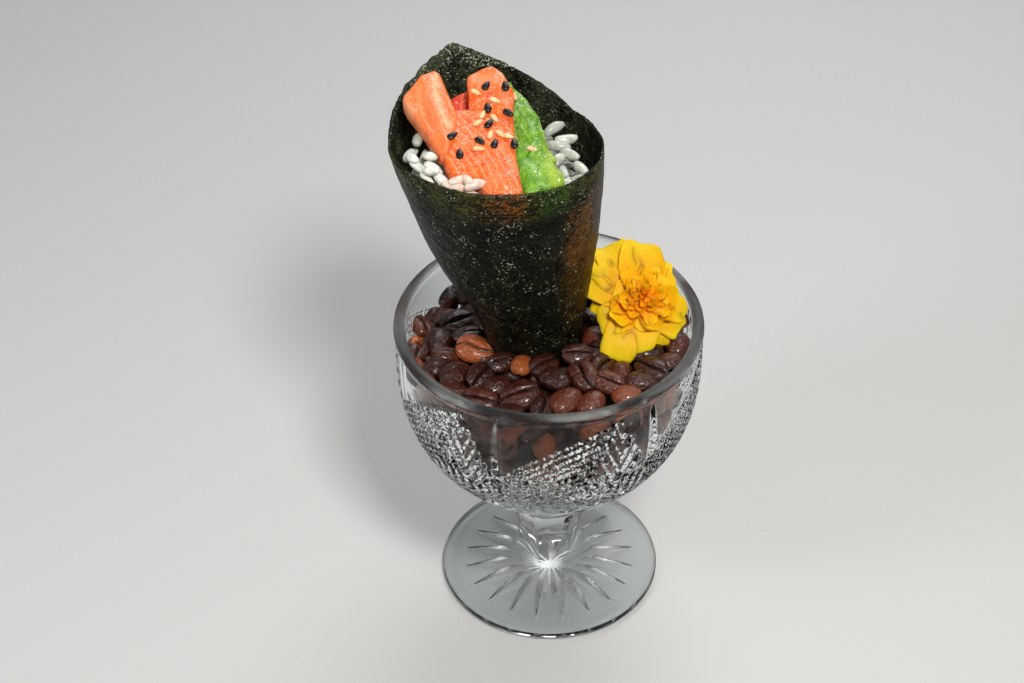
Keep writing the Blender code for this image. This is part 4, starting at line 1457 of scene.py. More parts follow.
@dataclass
class Filling:
    """What fills the cone: rice, four strips of salmon, a slice of avocado, and sesame."""

    cone: NoriCone
    strips: tuple[Strip, ...] = (
        Strip(
            "salmon_side", "salmon_left",
            ((-39.4, 7.8), (-35.6, 12.4), (-31.3, 16.8), (-29.3, 15.8), (-26.9, 9.2), (-24.5, 3.0),
             (-24.0, -0.6), (-24.6, -4.6), (-25.6, -8.6), (-26.6, -11.6), (-28.6, -11.4), (-30.4, -8.6),
             (-32.8, -4.0), (-35.0, -0.6), (-38.0, 4.3)),
            160.2, 0.315, thickness=5.0, stripe_bearing=-66.0, stripe_pitch=5.2, fatness=0.20, deep_red_and_painted_shade=0.05,
            speckle=0.2, ridge=(-33.6, 10.8, -27.6, -6.0), ridge_height=1.6, relief=0.25,
            fat_lines=((-30.6, 13.6, -26.4, -3.0, 1.25, 0.85), (-34.8, 9.0, -30.4, -5.0, 0.55, 0.55),
                       (-37.6, 6.4, -35.6, 2.4, 1.3, 0.40), (-34.5, 9.0, -28.0, -6.0, 5.0, 0.24)),
        ),
        Strip(
            "salmon_front_cut", "salmon_front",
            ((-27.0, 3.4), (-24.0, 4.1), (-20.4, 4.5), (-16.3, 4.4), (-12.6, 3.2), (-9.0, 0.6), (-8.7, -5.9),
             (-8.4, -11.1), (-7.6, -16.2), (-6.4, -23.7), (-9.9, -24.4), (-15.4, -25.2), (-17.9, -20.6),
             (-20.0, -18.4), (-25.2, -17.3), (-27.0, -14.6), (-28.0, -10.4), (-27.6, -3.2)),
            159.6, 0.285, stripe_bearing=-57.0, stripe_pitch=1.9, fatness=0.26, deep_red_and_painted_shade=0.22, relief=0.40,
            crown=0.5,
        ),
        Strip(
            "salmon_back_cut", "salmon_back",
            ((-22.0, 13.4), (-18.9, 15.3), (-15.2, 16.6), (-12.3, 14.9), (-10.6, 11.9), (-9.0, 9.2),
             (-9.2, 3.4), (-9.0, -3.0), (-12.1, -1.3), (-15.4, 2.4), (-18.7, 3.5), (-21.2, 3.7),
             (-21.7, 8.8)),
            157.1, 0.40, stripe_bearing=84.0, stripe_pitch=2.0, fatness=0.16, deep_red_and_painted_shade=0.18, relief=0.40,
            fat_lines=((-20.8, 12.6, -12.0, 13.6, 2.4, 0.35), (-10.6, 11.0, -10.4, 3.0, 0.9, 0.35)),
        ),
        # The inner strip's dark red is painted shade, as if it lay in shadow.
        Strip(
            "salmon_inner_cut", "salmon_inner", ((-25.6, 3.9), (-21.4, 4.9), (-21.2, 14.6), (-26.8, 12.0)),
            153.2, 0.36, stripe_bearing=80.0, stripe_pitch=3.0, fatness=0.1, deep_red_and_painted_shade=1.5, speckle=0.1,
        ),
    )
    avocado: Strip = field(default_factory=lambda: Strip(
        "avocado_slice", "avocado",
        ((-10.9, 16.6), (-9.0, 14.2), (-6.0, 10.3), (-3.3, 5.9), (-1.6, 1.3), (-0.4, -3.1), (0.5, -8.0),
         (2.4, -11.0), (1.0, -12.2), (3.3, -16.0), (4.7, -18.9), (4.0, -20.6), (0.1, -21.9), (-5.9, -23.0),
         (-7.9, -18.0), (-8.8, -13.0), (-9.6, -6.8), (-10.2, 1.2), (-10.6, 9.4), (-11.2, 13.2)),
        158.4, 0.26, relief=0.9, crown=1.0, deep_red_and_painted_shade=0.0,
        fat_lines=((1.6, -9.0, 2.6, -19.5, 2.2, 1.0), (0.2, 1.0, 1.2, -8.0, 0.8, 0.8)),
    ))
    black_seeds: tuple[Point, ...] = (
        (-16.6, 10.0, 62), (-11.4, 9.5, 95), (-16.1, 3.2, 100), (-10.5, 1.3, -40), (-15.7, -2.0, 60),
        (-25.3, -6.8, 40), (-18.0, -7.9, -45), (-14.1, -8.7, 75), (-23.3, -12.0, 95), (-8.9, -8.7, 100),
    )
    pale_seeds: tuple[Point, ...] = (
        (-19.4, 7.9, -30), (-14.2, 5.3, -25), (-17.4, 1.3, 70), (-14.2, -0.2, -55), (-18.6, -1.5, 40),
        (-15.3, -5.6, 80), (-12.7, -5.3, -50), (-10.5, -6.4, -20), (-18.3, -10.4, -5), (-9.1, 9.7, -70),
        (-4.1, -9.0, -20),
    )
    bed_sides: int = 120
    grain: Triple = (6.0, 2.8, 2.6)
    grain_tries: int = 9000
    deep_tries: int = 3000
    placed_grains: tuple[tuple[float, ...], ...] = (
        (1.8, 8.6, 158.4, 38), (5.0, 5.9, 157.2, 18), (3.0, 3.2, 156.4, -10), (5.8, 0.6, 156.0, -38),
        (9.0, -5.2, 155.0, -62), (8.0, -8.6, 154.0, 28), (4.4, -6.2, 154.6, -80), (5.2, -10.6, 153.2, 20),
        (2.8, -2.2, 155.2, 60), (7.6, -12.0, 152.6, -40), (-34.6, -1.6, 162.2, 82), (-36.8, -4.0, 158.4, 60),
        (-33.4, -5.0, 158.4, 78), (-31.4, -9.4, 157.4, 55), (-34.6, -9.0, 157.8, 64),
        (-23.2, -18.6, 160.6, 30), (-20.8, -19.6, 160.8, -62), (-18.9, -21.4, 160.4, 20),
        (-24.8, -20.0, 159.6, -20),
    )

    def build(self) -> None:
        """Makes the filling."""
        salmon = SalmonFinish().material()
        for strip in self.strips:
            strip.build(self.cone, salmon, Slot.SALMON)
        self.avocado.build(self.cone, AvocadoFinish().material(), Slot.AVOCADO)
        rice = RiceFinish().material()
        self.build_bed(rice)
        self.build_grains(rice)
        self.build_seeds()

    def build_bed(self, finish: Material) -> None:
        """Makes the body of rice under the loose grains.

        Args:
            finish: The rice's material.
        """
        rings: Rings = [[(*self.cone.centre(56.0), 56.0)]]
        rings += [self.bed_ring(57.0 + 77.0 * number / 35) for number in range(36)]
        centre = self.cone.centre(BED_HEIGHT)
        for number in range(24):
            share = 1 - number / 24
            ring = []
            for aim in map(Vector, circle(self.bed_sides)):
                level = bed_height(*(centre + aim * 26.0 * share))
                at = centre + aim * share * (self.cone.inner_radius(level) - 1.3)
                ring.append((*at, level - 0.5 - 0.9 * abs(rough(at.x, at.y, 0.0, 2.4))))
            rings.append(ring)
        rings.append([(*centre, bed_height(*centre) - 0.6)])
        # The bed's tone below 0 gives it painted shade between the grains.
        hand_over(Skin.of_rings(rings, tone=-0.7).make("rice_bed", finish), Slot.RICE, "rice")

    def bed_ring(self, level: float) -> list[Point]:
        """A ring of the rice body's side at a height, bumpy with grains."""
        centre = self.cone.centre(level)
        reach = self.cone.inner_radius(level) - 0.9
        ring = []
        for cos, sin in circle(self.bed_sides):
            bumpy = reach - 0.5 * abs(rough(reach * cos, reach * sin, level, 3.0))
            ring.append((centre.x + bumpy * cos, centre.y + bumpy * sin, level))
        return ring

    @staticmethod
    def grain_section(x: float) -> tuple[float, float]:
        """The girth and bend of a plump grain, slightly bent, with a notch near one end."""
        return 1 - 0.10 * math.exp(-(((x - 0.34) / 0.10) ** 2)), 0.16 * (1 - (2 * x) ** 2)

    @staticmethod
    def seed_section(x: float) -> tuple[float, float]:
        """The girth and bend of a straight drop-shaped seed."""
        return 1.04 - 0.62 * (x + 0.1), 0.0

    def random_place(self, draw: random.Random, level: float, margin: float) -> tuple[Vector, float, float]:
        """A random place inside the roll, seen from above.

        Args:
            draw: The random numbers.
            level: The height that the roll's width is taken at.
            margin: How far it keeps from the sheet.

        Returns:
            The place, its bearing from the roll's centre in radians, and its distance from there.
        """
        reach = (self.cone.inner_radius(level) - margin) * math.sqrt(draw.random())
        turn = draw.uniform(0, math.tau)
        return self.cone.centre(level) + Vector((math.cos(turn), math.sin(turn))) * reach, turn, reach

    def grain_placings(self) -> list[Placing]:
        """Where the grains lie: heaped at the left and in front, low at the right, and round the strips."""
        draw = random.Random(41)
        borders = [strip.border(self.cone, 60) for strip in (*self.strips, self.avocado)]
        placings: list[Placing] = []
        for x, y, level, yaw in self.placed_grains:
            # Grains away from the middle take a tone below 0: clearer, and darker with painted shade.
            tone = 0.5 if -30 < x < 0 else draw.uniform(-0.75, -0.35)
            placings.append(Placing(Vector((x, y, level)), self.lying(draw, yaw, 0.2), 1.08, tone))
        for _ in range(self.grain_tries):
            at, turn, reach = self.random_place(draw, 153.0, 1.2)
            heaped = at.x + 0.25 * at.y < -21.5 and at.y < -6.5
            place = Vector((*at, bed_height(*at) + draw.uniform(-0.6, 3.4 if heaped else 0.9)))
            if past_avocado(*at) > 6.5 or (at.y > 2 and at.x < -20) or (at.y > -8 and at.x < -30):
                continue
            yaw = draw.uniform(0, math.pi)
            if reach > 20:
                yaw = turn + math.pi / 2 + draw.uniform(-0.5, 0.5)
            half = Vector((math.cos(yaw), math.sin(yaw))) * (self.grain[0] / 2 + 0.2)
            room = self.cone.inner_radius(place.z) - 1.7
            if any((at + end - self.cone.centre(place.z)).length > room for end in (half, -half)):
                continue
            if any(inside(at, border) for border in borders):
                continue
            edge = min((at - point).length for border in borders for point in border)
            if edge < 1.2 or any(other.near(place, 3.0) for other in placings):
                continue
            blush = smooth(at.x, -29.0, -24.0) * 0.8 if heaped else 0.2 * smooth(edge, 3.0, 1.0)
            turned = self.lying(draw, math.degrees(yaw), 0.4)
            placings.append(Placing(place, turned, 1.0, blush * draw.uniform(0.5, 1.0)))
        return placings + self.deep_placings(placings)

    def deep_placings(self, shallow: Sequence[Placing]) -> list[Placing]:
        """Where the grains lie that are deep in the roll, beyond the strips.

        Args:
            shallow: Where the other grains lie.

        Returns:
            The placings.
        """
        draw = random.Random(43)
        placings: list[Placing] = []
        for _ in range(self.deep_tries):
            at, _, _ = self.random_place(draw, 140.0, 2.8)
            place = Vector((*at, bed_height(*at) + draw.uniform(-0.8, 0.3)))
            turned = self.lying(draw, draw.uniform(0, 180), 0.3)
            if past_avocado(*at) < 6.5 and at.y < 17.0:
                continue
            if any(other.near(place, 3.1) for other in (*shallow, *placings)):
                continue
            # The deep grains take a tone well below 0, darker with painted shade.
            placings.append(Placing(place, turned, 0.95, draw.uniform(-0.95, -0.6)))
        return placings

    @staticmethod
    def lying(draw: random.Random, yaw: float, tilt: float) -> Matrix:
        """A random turn of something that lies at a bearing and tilts by at most so many radians."""
        roll = draw.uniform(0, math.tau)
        return Euler((roll, draw.uniform(-tilt, tilt), math.radians(yaw))).to_matrix()

    def build_grains(self, finish: Material) -> None:
        """Makes the loose grains.

        Args:
            finish: The rice's material.
        """
        shape = unit_body("grain_shape", finish, 10, 0.72, self.grain_section)
        scatter = Scatter("rice_grains", self.grain, finish, 0.08, 3)
        hand_over(scatter.make(shape, self.grain_placings()), Slot.RICE)

    def strip_under(self, x: float, y: float) -> Strip:
        """The highest strip under a point."""
        at = Vector((x, y))
        strips = (*self.strips, self.avocado)
        found = [strip for strip in strips if inside(at, strip.border(self.cone, 60))]
        return max(found or self.strips[1:2], key=lambda strip: strip.height(x, y))

    def build_seeds(self) -> None:
        """Makes the black and the pale sesame."""
        black = SesameFinish("black_sesame_look", (0.004, 0.003, 0.003), (0.012, 0.009, 0.008), 0.25)
        pale = SesameFinish("pale_sesame_look", (0.86, 0.62, 0.34), (0.70, 0.42, 0.18), 0.32)
        for name, finish, seeds, size in (
            ("black_sesame", black.material(), self.black_seeds, (3.3, 2.0, 1.1)),
            ("pale_sesame", pale.material(), self.pale_seeds, (3.1, 1.5, 1.1)),
        ):
            placings = []
            for x, y, yaw in seeds:
                strip = self.strip_under(x, y)
                lean = Matrix.Rotation(math.atan(strip.slope), 3, "X")
                turn = lean @ Matrix.Rotation(math.radians(yaw), 3, "Z")
                raised = 0.38 + strip.crown * 0.75
                placings.append(Placing(Vector((x, y, strip.height(x, y) + raised)), turn))
            shape = unit_body("seed_shape", finish, 12, 0.85, self.seed_section)
            hand_over(Scatter(name, size, finish, 0.05, 5).make(shape, placings), Slot.SALMON)


# Coffee beans


class BeanFace(Enum):
    """Which side of a bean shows."""

    DOME = "dome"
    CREASE = "crease"


DOME, CREASE = BeanFace.DOME, BeanFace.CREASE


@dataclass
class BeanHeap:
    """The dish's fill of roasted beans: three upper layers, those against the glass, and a core."""

    dish: CutGlassDish
    cone: NoriCone
    level: float = 94.0
    fall: float = 0.2
    fall_bearing: float = 140.0
    kinds: int = 4
    bean: Triple = (10.3, 8.1, 5.8)
    layers: tuple[tuple[float, float, int], ...] = ((0.4, 7.6, 6000), (4.4, 6.8, 5000), (8.2, 7.4, 3000))
    top_tones: tuple[float, ...] = (0.14, 0.22, 0.30, 0.38, 0.46, 0.56)
    # Tones of the beans at the glass, lighter than those on top as painted light.
    wall_tones_painted_lighter: tuple[float, ...] = (0.5, 0.62, 0.7, 0.78, 0.86, 1.0)
    wall_tries: int = 9000
    wall_spacing: float = 7.4
    wall_depth: float = 2.9
    bean_room: float = 3.6
    core_sides: int = 72
    seen: tuple[tuple[float, float, float, BeanFace, float, float], ...] = (
        (-21.3, -4.3, -8, CREASE, 0.93, 1.10), (-7.7, -15.1, 78, DOME, 0.92, 0.82),
        (-8.2, -28.4, 16, CREASE, 0.42, 1.16), (4.6, -30.8, 40, DOME, 0.62, 1.0),
        (9.9, -19.7, -62, CREASE, 0.45, 1.08), (-38.0, -1.0, 84, CREASE, 0.38, 1.0),
        (-26.7, -16.7, 52, DOME, 0.36, 1.1), (-19.3, -30.0, -10, CREASE, 0.48, 1.0),
        (26.0, -22.9, 0, DOME, 0.36, 0.92), (29.0, -17.0, -38, CREASE, 0.30, 1.0),
        (37.2, -5.7, 84, DOME, 0.48, 0.95), (37.2, 14.4, 76, CREASE, 0.42, 1.0),
        (-30.2, 27.6, 80, DOME, 0.36, 0.9), (-25.0, 27.0, 100, DOME, 0.34, 0.9),
        (-32.3, 2.7, 84, DOME, 0.20, 0.95), (-14.8, -24.5, 35, DOME, 0.34, 0.8),
        (15.6, -15.0, 62, CREASE, 0.34, 0.9), (17.0, -22.6, -24, CREASE, 0.56, 0.95),
        (21.8, -28.2, 12, DOME, 0.76, 0.9), (-1.3, -15.1, 46, CREASE, 0.32, 0.95),
        (1.6, -21.8, -46, DOME, 0.22, 0.98), (-38.2, 12.6, 120, CREASE, 0.62, 0.92),
        (-19.4, -18.6, 60, CREASE, 0.24, 1.0), (-13.4, -13.0, 30, CREASE, 0.26, 0.85),
        (-1.9, -34.0, 84, CREASE, 0.20, 0.85), (11.8, -32.4, 48, DOME, 0.62, 0.85),
        (20.6, -18.0, 80, DOME, 0.50, 0.75), (28.0, -9.3, 4, DOME, 0.16, 1.0),
        (34.3, -13.4, 20, DOME, 0.42, 0.8), (12.9, -2.4, 70, DOME, 0.58, 0.85),
        (8.3, -10.6, 5, CREASE, 0.40, 0.9), (14.8, -8.8, -30, CREASE, 0.24, 0.85),
        (-32.6, -12.2, 74, DOME, 0.26, 0.9), (-27.1, 11.8, 28, CREASE, 0.12, 1.05),
    )

    def surface(self, x: float, y: float) -> float:
        """Mean height of the heap's surface, which falls towards the back left."""
        turn = math.radians(self.fall_bearing)
        return self.level - self.fall * max(0.0, x * math.cos(turn) + y * math.sin(turn))

    @staticmethod
    def bean_shape(name: str, finish: Material, around: Sequence[float], along: int, kind: int = 0) -> Object:
        """A bean of one unit, domed above and flatter below, with a bent crease along its flat side.

        Args:
            name: The shape's name.
            finish: Its material.
            around: The bearings of its columns from the crease, rising, on one side.
            along: How many steps it has from end to end.
            kind: Which of several shapes, each lumpy and creased in its own way.

        Returns:
            The shape.
        """
        bearings = sorted({*around, *(360 - angle for angle in around if 0 < angle < 180)})
        rings: Rings = [[(-0.5, 0.0, 0.0)]]
        crease: list[float] = [0.0]
        for step in range(1, along):
            angle = math.pi * step / along
            x = -0.5 * math.cos(angle)
            girth = math.sin(angle) ** (0.70 + 0.05 * (kind % 3)) * (1 + 0.07 * (kind % 3 - 1) * 2 * x)
            line = (0.055 - 0.03 * kind) * math.sin((7.5 - kind) * x + kind)
            ring = []
            for bearing in bearings:
                turn = math.radians(bearing - 90)
                y, z = 0.5 * girth * math.cos(turn), 0.5 * girth * math.sin(turn)
                depth = 0.0
                if z < 0:
                    z *= 0.70
                    away = abs(y - line)
                    depth = math.exp(-((away / 0.040) ** 2))
                    z += (0.24 * depth + 0.04 * math.exp(-((away / 0.12) ** 2))) * girth
                else:
                    z += 0.03 * rough(x * 5 + 9 * kind, y * 5, z * 5, 1.0)
                y += 0.035 * rough(x * 4, y * 3, 5.0 + 7 * kind, 1.0) * girth
                ring.append((x, y, z))
                crease.append(min(1.0, 1.15 * depth))
            rings.append(ring)
        rings.append([(0.5, 0.0, 0.0)])
        crease.append(0.0)
        return Skin.of_rings(rings, crease=crease).make_unit(name, finish)

    @staticmethod
    def pose(face: BeanFace, yaw: float, tilt_x: float, tilt_y: float) -> Matrix:
        """A bean's turn.

        Args:
            face: Which side shows.
            yaw: The bearing of its length.
            tilt_x: Its roll about its length, in radians.
            tilt_y: Its pitch, in radians.

        Returns:
            The turn.
        """
        flip = Matrix.Rotation(math.pi if face is CREASE else 0.0, 3, "X")
        tilt = Euler((tilt_x, tilt_y, 0.0)).to_matrix()
        return Matrix.Rotation(math.radians(yaw), 3, "Z") @ tilt @ flip

    def clear(self, place: Vector, flower: "Marigold", margin: float) -> bool:
        """Whether a bean's middle may be at a place.

        Args:
            place: The place.
            flower: The flower that lies on the heap.
            margin: How far the bean reaches.

        Returns:
            True if it keeps out of the glass, the roll and the flower.
        """
        if place.xy.length > self.dish.cavity_radius(min(place.z, 90.0)) - margin:
            return False
        if (place.xy - self.cone.centre(place.z)).length < self.cone.radius(place.z) + margin:
            return False
        local = flower.matrix().inverted() @ place
        return not (local.xy.length < 17.0 and local.z > -5.0)

    def top_placings(self, flower: "Marigold") -> list[Placing]:
        """Where the beans of the upper layers lie.

        Args:
            flower: The flower that lies on the heap.

        Returns:
            The placings.
        """
        draw = random.Random(17)
        placings: list[Placing] = []
        for x, y, yaw, face, tone, size in self.seen:
            place = Vector((x, y, self.surface(x, y) + draw.uniform(-0.2, 0.5)))
            roll = draw.uniform(-0.15, 0.15) + (0.35 if face is CREASE else 0.0)
            pose = self.pose(face, yaw, roll, draw.uniform(-0.2, 0.2))
            placings.append(Placing(place, pose, size, tone))
        for layer, (drop, spacing, tries) in enumerate(self.layers):
            mine, tilt, shade = (list(placings), 0.35, 1.0) if layer == 0 else ([], 0.8, 0.7)
            for _ in range(tries):
                reach = self.dish.cavity_radius(90.0) * math.sqrt(draw.random())
                turn = draw.uniform(0, math.tau)
                x, y = reach * math.cos(turn), reach * math.sin(turn)
                place = Vector((x, y, self.surface(x, y) - drop + draw.uniform(-0.8, 0.6)))
                if not self.clear(place, flower, self.bean_room):
                    continue
                if any(other.near(place, spacing) for other in mine):
                    continue
                face = draw.choice((DOME, CREASE))
                yaw, roll = draw.uniform(0, 360), draw.uniform(-tilt, tilt)
                pose = self.pose(face, yaw, roll, draw.uniform(-tilt, tilt))
                tone = draw.choice(self.top_tones) * shade
                bean = Placing(place, pose, draw.uniform(0.86, 1.04), tone)
                placings.append(bean)
                mine.append(bean)
        return placings

    def wall_placings(self) -> list[Placing]:
        """Where the beans against the glass lie, each flat to the wall."""
        draw = random.Random(23)
        placings: list[Placing] = []
        for _ in range(self.wall_tries):
            height = draw.uniform(42.5, 90.0)
            bearing = draw.uniform(0, math.tau)
            low, high = self.dish.cavity_radius(height - 1), self.dish.cavity_radius(height + 1)
            normal = Vector((2 * math.cos(bearing), 2 * math.sin(bearing), low - high)).normalized()
            radius = self.dish.cavity_radius(height)
            wall = Vector((radius * math.cos(bearing), radius * math.sin(bearing), height))
            place = wall - normal * self.wall_depth
            if place.z > self.surface(place.x, place.y) - 1.0:
                continue
            if any(other.near(place, self.wall_spacing) for other in placings):
                continue
            yaw = math.degrees(draw.uniform(0, math.pi))
            face = draw.choice((DOME, DOME, CREASE))
            roll = draw.uniform(-0.2, 0.2)
            pose = self.pose(face, yaw, roll, draw.uniform(-0.15, 0.15))
            turn = normal.to_track_quat("Z", "Y").to_matrix() @ pose
            # Painted light: the beans at the glass take the lighter tones.
            tone = draw.choice(self.wall_tones_painted_lighter)
            placings.append(Placing(place, turn, draw.uniform(0.86, 0.98), tone))
        return placings

    def build_core(self, finish: Material) -> None:
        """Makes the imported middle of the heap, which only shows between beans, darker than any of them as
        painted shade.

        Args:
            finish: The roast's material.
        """
        rings: Rings = [[(0.0, 0.0, 43.0)]]
        turns = circle(self.core_sides)
        for number in range(1, 17):
            height = 43.0 + 41.0 * (number / 16) ** 1.3
            reach = self.dish.cavity_radius(height) - 4.6
            if reach <= 1:
                continue
            ring = []
            for cos, sin in turns:
                bumpy = reach - 1.2 * abs(rough(reach * cos, reach * sin, height, 5.0))
                ring.append((bumpy * cos, bumpy * sin, height))
            rings.append(ring)
        reach = self.dish.cavity_radius(84.0) - 5.5
        for share in (1.0, 0.9, 0.8, 0.7, 0.6):
            ring = []
            for cos, sin in turns:
                x, y = reach * share * cos, reach * share * sin
                ring.append((x, y, self.surface(x, y) - 6.0 - 1.2 * abs(rough(x, y, 0.0, 5.0))))
            rings.append(ring)
        for height in (86.0, 78.0, 66.0, 54.0, 49.6):
            centre, radius = self.cone.centre(height), self.cone.radius(height) + 1.35
            rings.append([(centre.x + radius * cos, centre.y + radius * sin, height) for cos, sin in turns])
        rings.append([(*self.cone.centre(49.5), 49.5)])
        # Painted shade: a near-black tone and a darkened crease mark make the core dark as the shade between
        # beans.
        skin = Skin.of_rings(rings, tone=0.05, crease=0.35)
        hand_over(skin.make("bean_core", finish), Slot.BEANS, "coffee_beans")

    def build(self, flower: "Marigold") -> None:
        """Makes the heap.

        Args:
            flower: The flower that lies on it.
        """
        finish = BeanFinish().material()
        self.build_core(finish)
        placings = self.top_placings(flower)
        around = (0, 3, 6, 10, 16, 26, 42, 62, 85, 110, 140, 180)
        for kind in range(self.kinds):
            fine = self.bean_shape(f"fine_bean_{kind + 1}", finish, around, 14, kind)
            top = Scatter(f"beans_on_top_{kind + 1}", self.bean, finish, 0.03, 7 + kind)
            hand_over(top.make(fine, placings[kind :: self.kinds]), Slot.BEANS)
        plain = self.bean_shape("plain_bean", finish, (0, 7, 15, 35, 75, 120, 180), 8)
        wall = Scatter("beans_at_the_glass", self.bean, finish, 0.03, 9)
        hand_over(wall.make(plain, self.wall_placings()), Slot.BEANS)


# Marigold


@dataclass(frozen=True)
class Petal:
    """One petal: its bearing, length, width, height of its root, droop, cup and ruffle."""

    bearing: float
    length: float
    width: float
    lift: float
    droop: float
    cup: float = 1.0
    ruffle: float = 0.8


@dataclass
class Marigold:
    """The flower that lies on the beans at the right."""

    place: Triple = (27.0, 0.2, 105.0)
    facing: Triple = (0.12, -0.56, 0.82)
    thickness: float = 0.32
    cup_length: float = 8.0
    cup_rings: tuple[Station, ...] = (
        (1.6, -7.8), (2.6, -7.0), (3.1, -5.0), (3.3, -3.0), (4.4, -1.4), (4.2, 0.6),
    )
    outer: tuple[Petal, ...] = (
        Petal(109, 20.4, 13.5, -0.6, 1.4), Petal(82, 18.4, 14.0, 0.5, 0.7),
        Petal(60, 15.4, 11.0, -0.3, 1.2), Petal(40, 12.6, 9.5, 0.6, 0.8),
        Petal(10, 11.2, 10.0, -0.2, 0.8), Petal(-22, 12.9, 9.5, 0.5, 1.0),
        Petal(-46, 13.8, 10.0, -0.5, 1.2), Petal(-78, 13.8, 9.5, -0.8, 1.4),
        Petal(-106, 14.8, 12.0, 0.6, 1.0), Petal(-127, 19.0, 12.5, -0.7, 1.8),
        Petal(-158, 14.4, 11.0, 0.3, 1.2), Petal(173, 14.6, 9.0, -0.6, 1.0),
        Petal(149, 18.2, 12.0, 0.4, 0.9, 0.6, 0.3), Petal(131, 18.6, 10.5, -0.2, 1.2),
    )
    inner: tuple[Station, ...] = (
        (10, 11.0, 6.4, 1.7), (10, 8.0, 4.4, 2.8), (9, 5.6, 3.4, 3.8), (7, 3.6, 2.6, 4.6), (4, 2.2, 2.0, 5.2),
    )

    def matrix(self) -> Matrix:
        """The flower's own frame in millimetres, whose Z axis runs out of its face."""
        turn = Vector(self.facing).normalized().to_track_quat("Z", "Y").to_matrix().to_4x4()
        return Matrix.Translation(self.place) @ turn

    def add_petal(self, skin: Skin, petal: Petal, draw: random.Random, rows: int, columns: int) -> None:
        """Adds a thin ruffled petal to a mesh.

        Args:
            skin: The mesh in the making.
            petal: The petal.
            draw: The random numbers.
            rows: Its points from root to tip.
            columns: Its points across.
        """
        shift, wobble = draw.uniform(0, math.tau), draw.uniform(0, 50)
        turn = self.matrix() @ Matrix.Rotation(math.radians(petal.bearing), 4, "Z")
        points, along_marks, across_marks = [], [], []
        for side in (0.5, -0.5):
            for row in range(rows):
                along = row / (rows - 1)
                half = petal.width / 2 * (0.24 + 0.76 * smooth(along, -0.05, 0.62)) * (1 - 0.10 * along**4)
                for column in range(columns):
                    over = 2 * column / (columns - 1) - 1
                    notch = 0.035 * math.cos(4.6 * over + shift)
                    notch += 0.012 * math.cos(11.0 * over + 2 * shift)
                    blunt = 1 - (0.30 * over**4 + 0.06 * over**2) * along + notch * along**2
                    root = min(1.6, 0.12 * petal.length)
                    reach = root + (petal.length - root) * along * blunt
                    wide = half * math.sin(0.5 * math.pi * over * 0.94) / math.sin(0.5 * math.pi * 0.94)
                    rise = petal.lift + petal.cup * over**2 * (0.4 + 0.6 * along)
                    rise += petal.droop * (3.2 * along * (1 - along) - along**3)
                    rise += petal.ruffle * along**1.8 * math.sin(3.4 * over + shift)
                    rise += 0.7 * along * rough(reach + wobble, wide, petal.bearing, 3.4)
                    rise += 0.3 * along**4 * rough(wide * 2.0, wobble, along, 1.6)
                    points.append(turn @ Vector((reach, wide, rise + side * self.thickness)))
                    along_marks.append(along * min(1.0, petal.length / 11.0) ** 0.5)
                    across_marks.append(over)
        skin.add(points, self.petal_faces(rows, columns), along=along_marks, across=across_marks)

    @staticmethod
    def petal_faces(rows: int, columns: int) -> list[tuple[int, ...]]:
        """The faces of a closed thin sheet of two grids of points.

        Args:
            rows: The points along it.
            columns: The points across it.

        Returns:
            The faces.
        """
        count = rows * columns
        faces: list[tuple[int, ...]] = []
        for row in range(rows - 1):
            for column in range(columns - 1):
                a = row * columns + column
                quad = (a, a + columns, a + columns + 1, a + 1)
                faces.append(quad)
                faces.append(tuple(number + count for number in reversed(quad)))
        border = list(range(columns)) + [row * columns + columns - 1 for row in range(1, rows)]
        border += [(rows - 1) * columns + column for column in range(columns - 2, -1, -1)]
        border += [row * columns for row in range(rows - 2, 0, -1)]
        for here, there in zip(border, border[1:] + border[:1]):
            faces.append((here, there, there + count, here + count))
        return faces

    def inner_petals(self, draw: random.Random) -> list[Petal]:
        """The small crowded petals of the middle."""
        petals = []
        for ring, (count, length, width, lift) in enumerate(self.inner):
            for number in range(count):
                bearing = 360 * (number + 0.5 * (ring % 2)) / count + draw.uniform(-14, 14)
                petals.append(Petal(
                    bearing, length * draw.uniform(0.8, 1.12), width * draw.uniform(0.8, 1.2),
                    lift + draw.uniform(-0.4, 0.5), draw.uniform(-2.2, 0.4), draw.uniform(0.8, 2.2),
                    draw.uniform(0.4, 0.9),
                ))
        return petals

    def build(self) -> None:
        """Makes the flower."""
        draw = random.Random(5)
        finish = PetalFinish().material()
        outer = Skin()
        for petal in self.outer:
            self.add_petal(outer, petal, draw, 18, 17)
        hand_over(outer.make("marigold_petals", finish, 70.0), Slot.MARIGOLD, "marigold")
        heart = Skin()
        for petal in self.inner_petals(draw):
            self.add_petal(heart, petal, draw, 10, 9)
        hand_over(heart.make("marigold_heart", finish, 70.0), Slot.MARIGOLD)
        self.build_cup()

    def build_cup(self) -> None:
        """Makes the green cup behind the petals, with five soft ribs."""
        rings: Rings = [[(0.0, 0.0, -self.cup_length)]]
        for radius, level in self.cup_rings:
            ring = []
            for step, (cos, sin) in enumerate(circle(40)):
                reach = radius * (1 + 0.05 * math.cos(5 * math.tau * step / 40))
                ring.append((reach * cos, reach * sin, level))
            rings.append(ring)
        rings.append([(0.0, 0.0, 1.6)])
        turn = self.matrix()
        placed = [[turn @ Vector(point) for point in ring] for ring in rings]
        cup = Skin.of_rings(placed).make("marigold_cup", StalkFinish().material())
        hand_over(cup, Slot.MARIGOLD)


# Studio


@dataclass(frozen=True)
class Softbox:
    """A large soft lamp."""

    name: str
    place: Triple
    size: float
    power: float
    colour: Colour = (1.0, 1.0, 1.0)


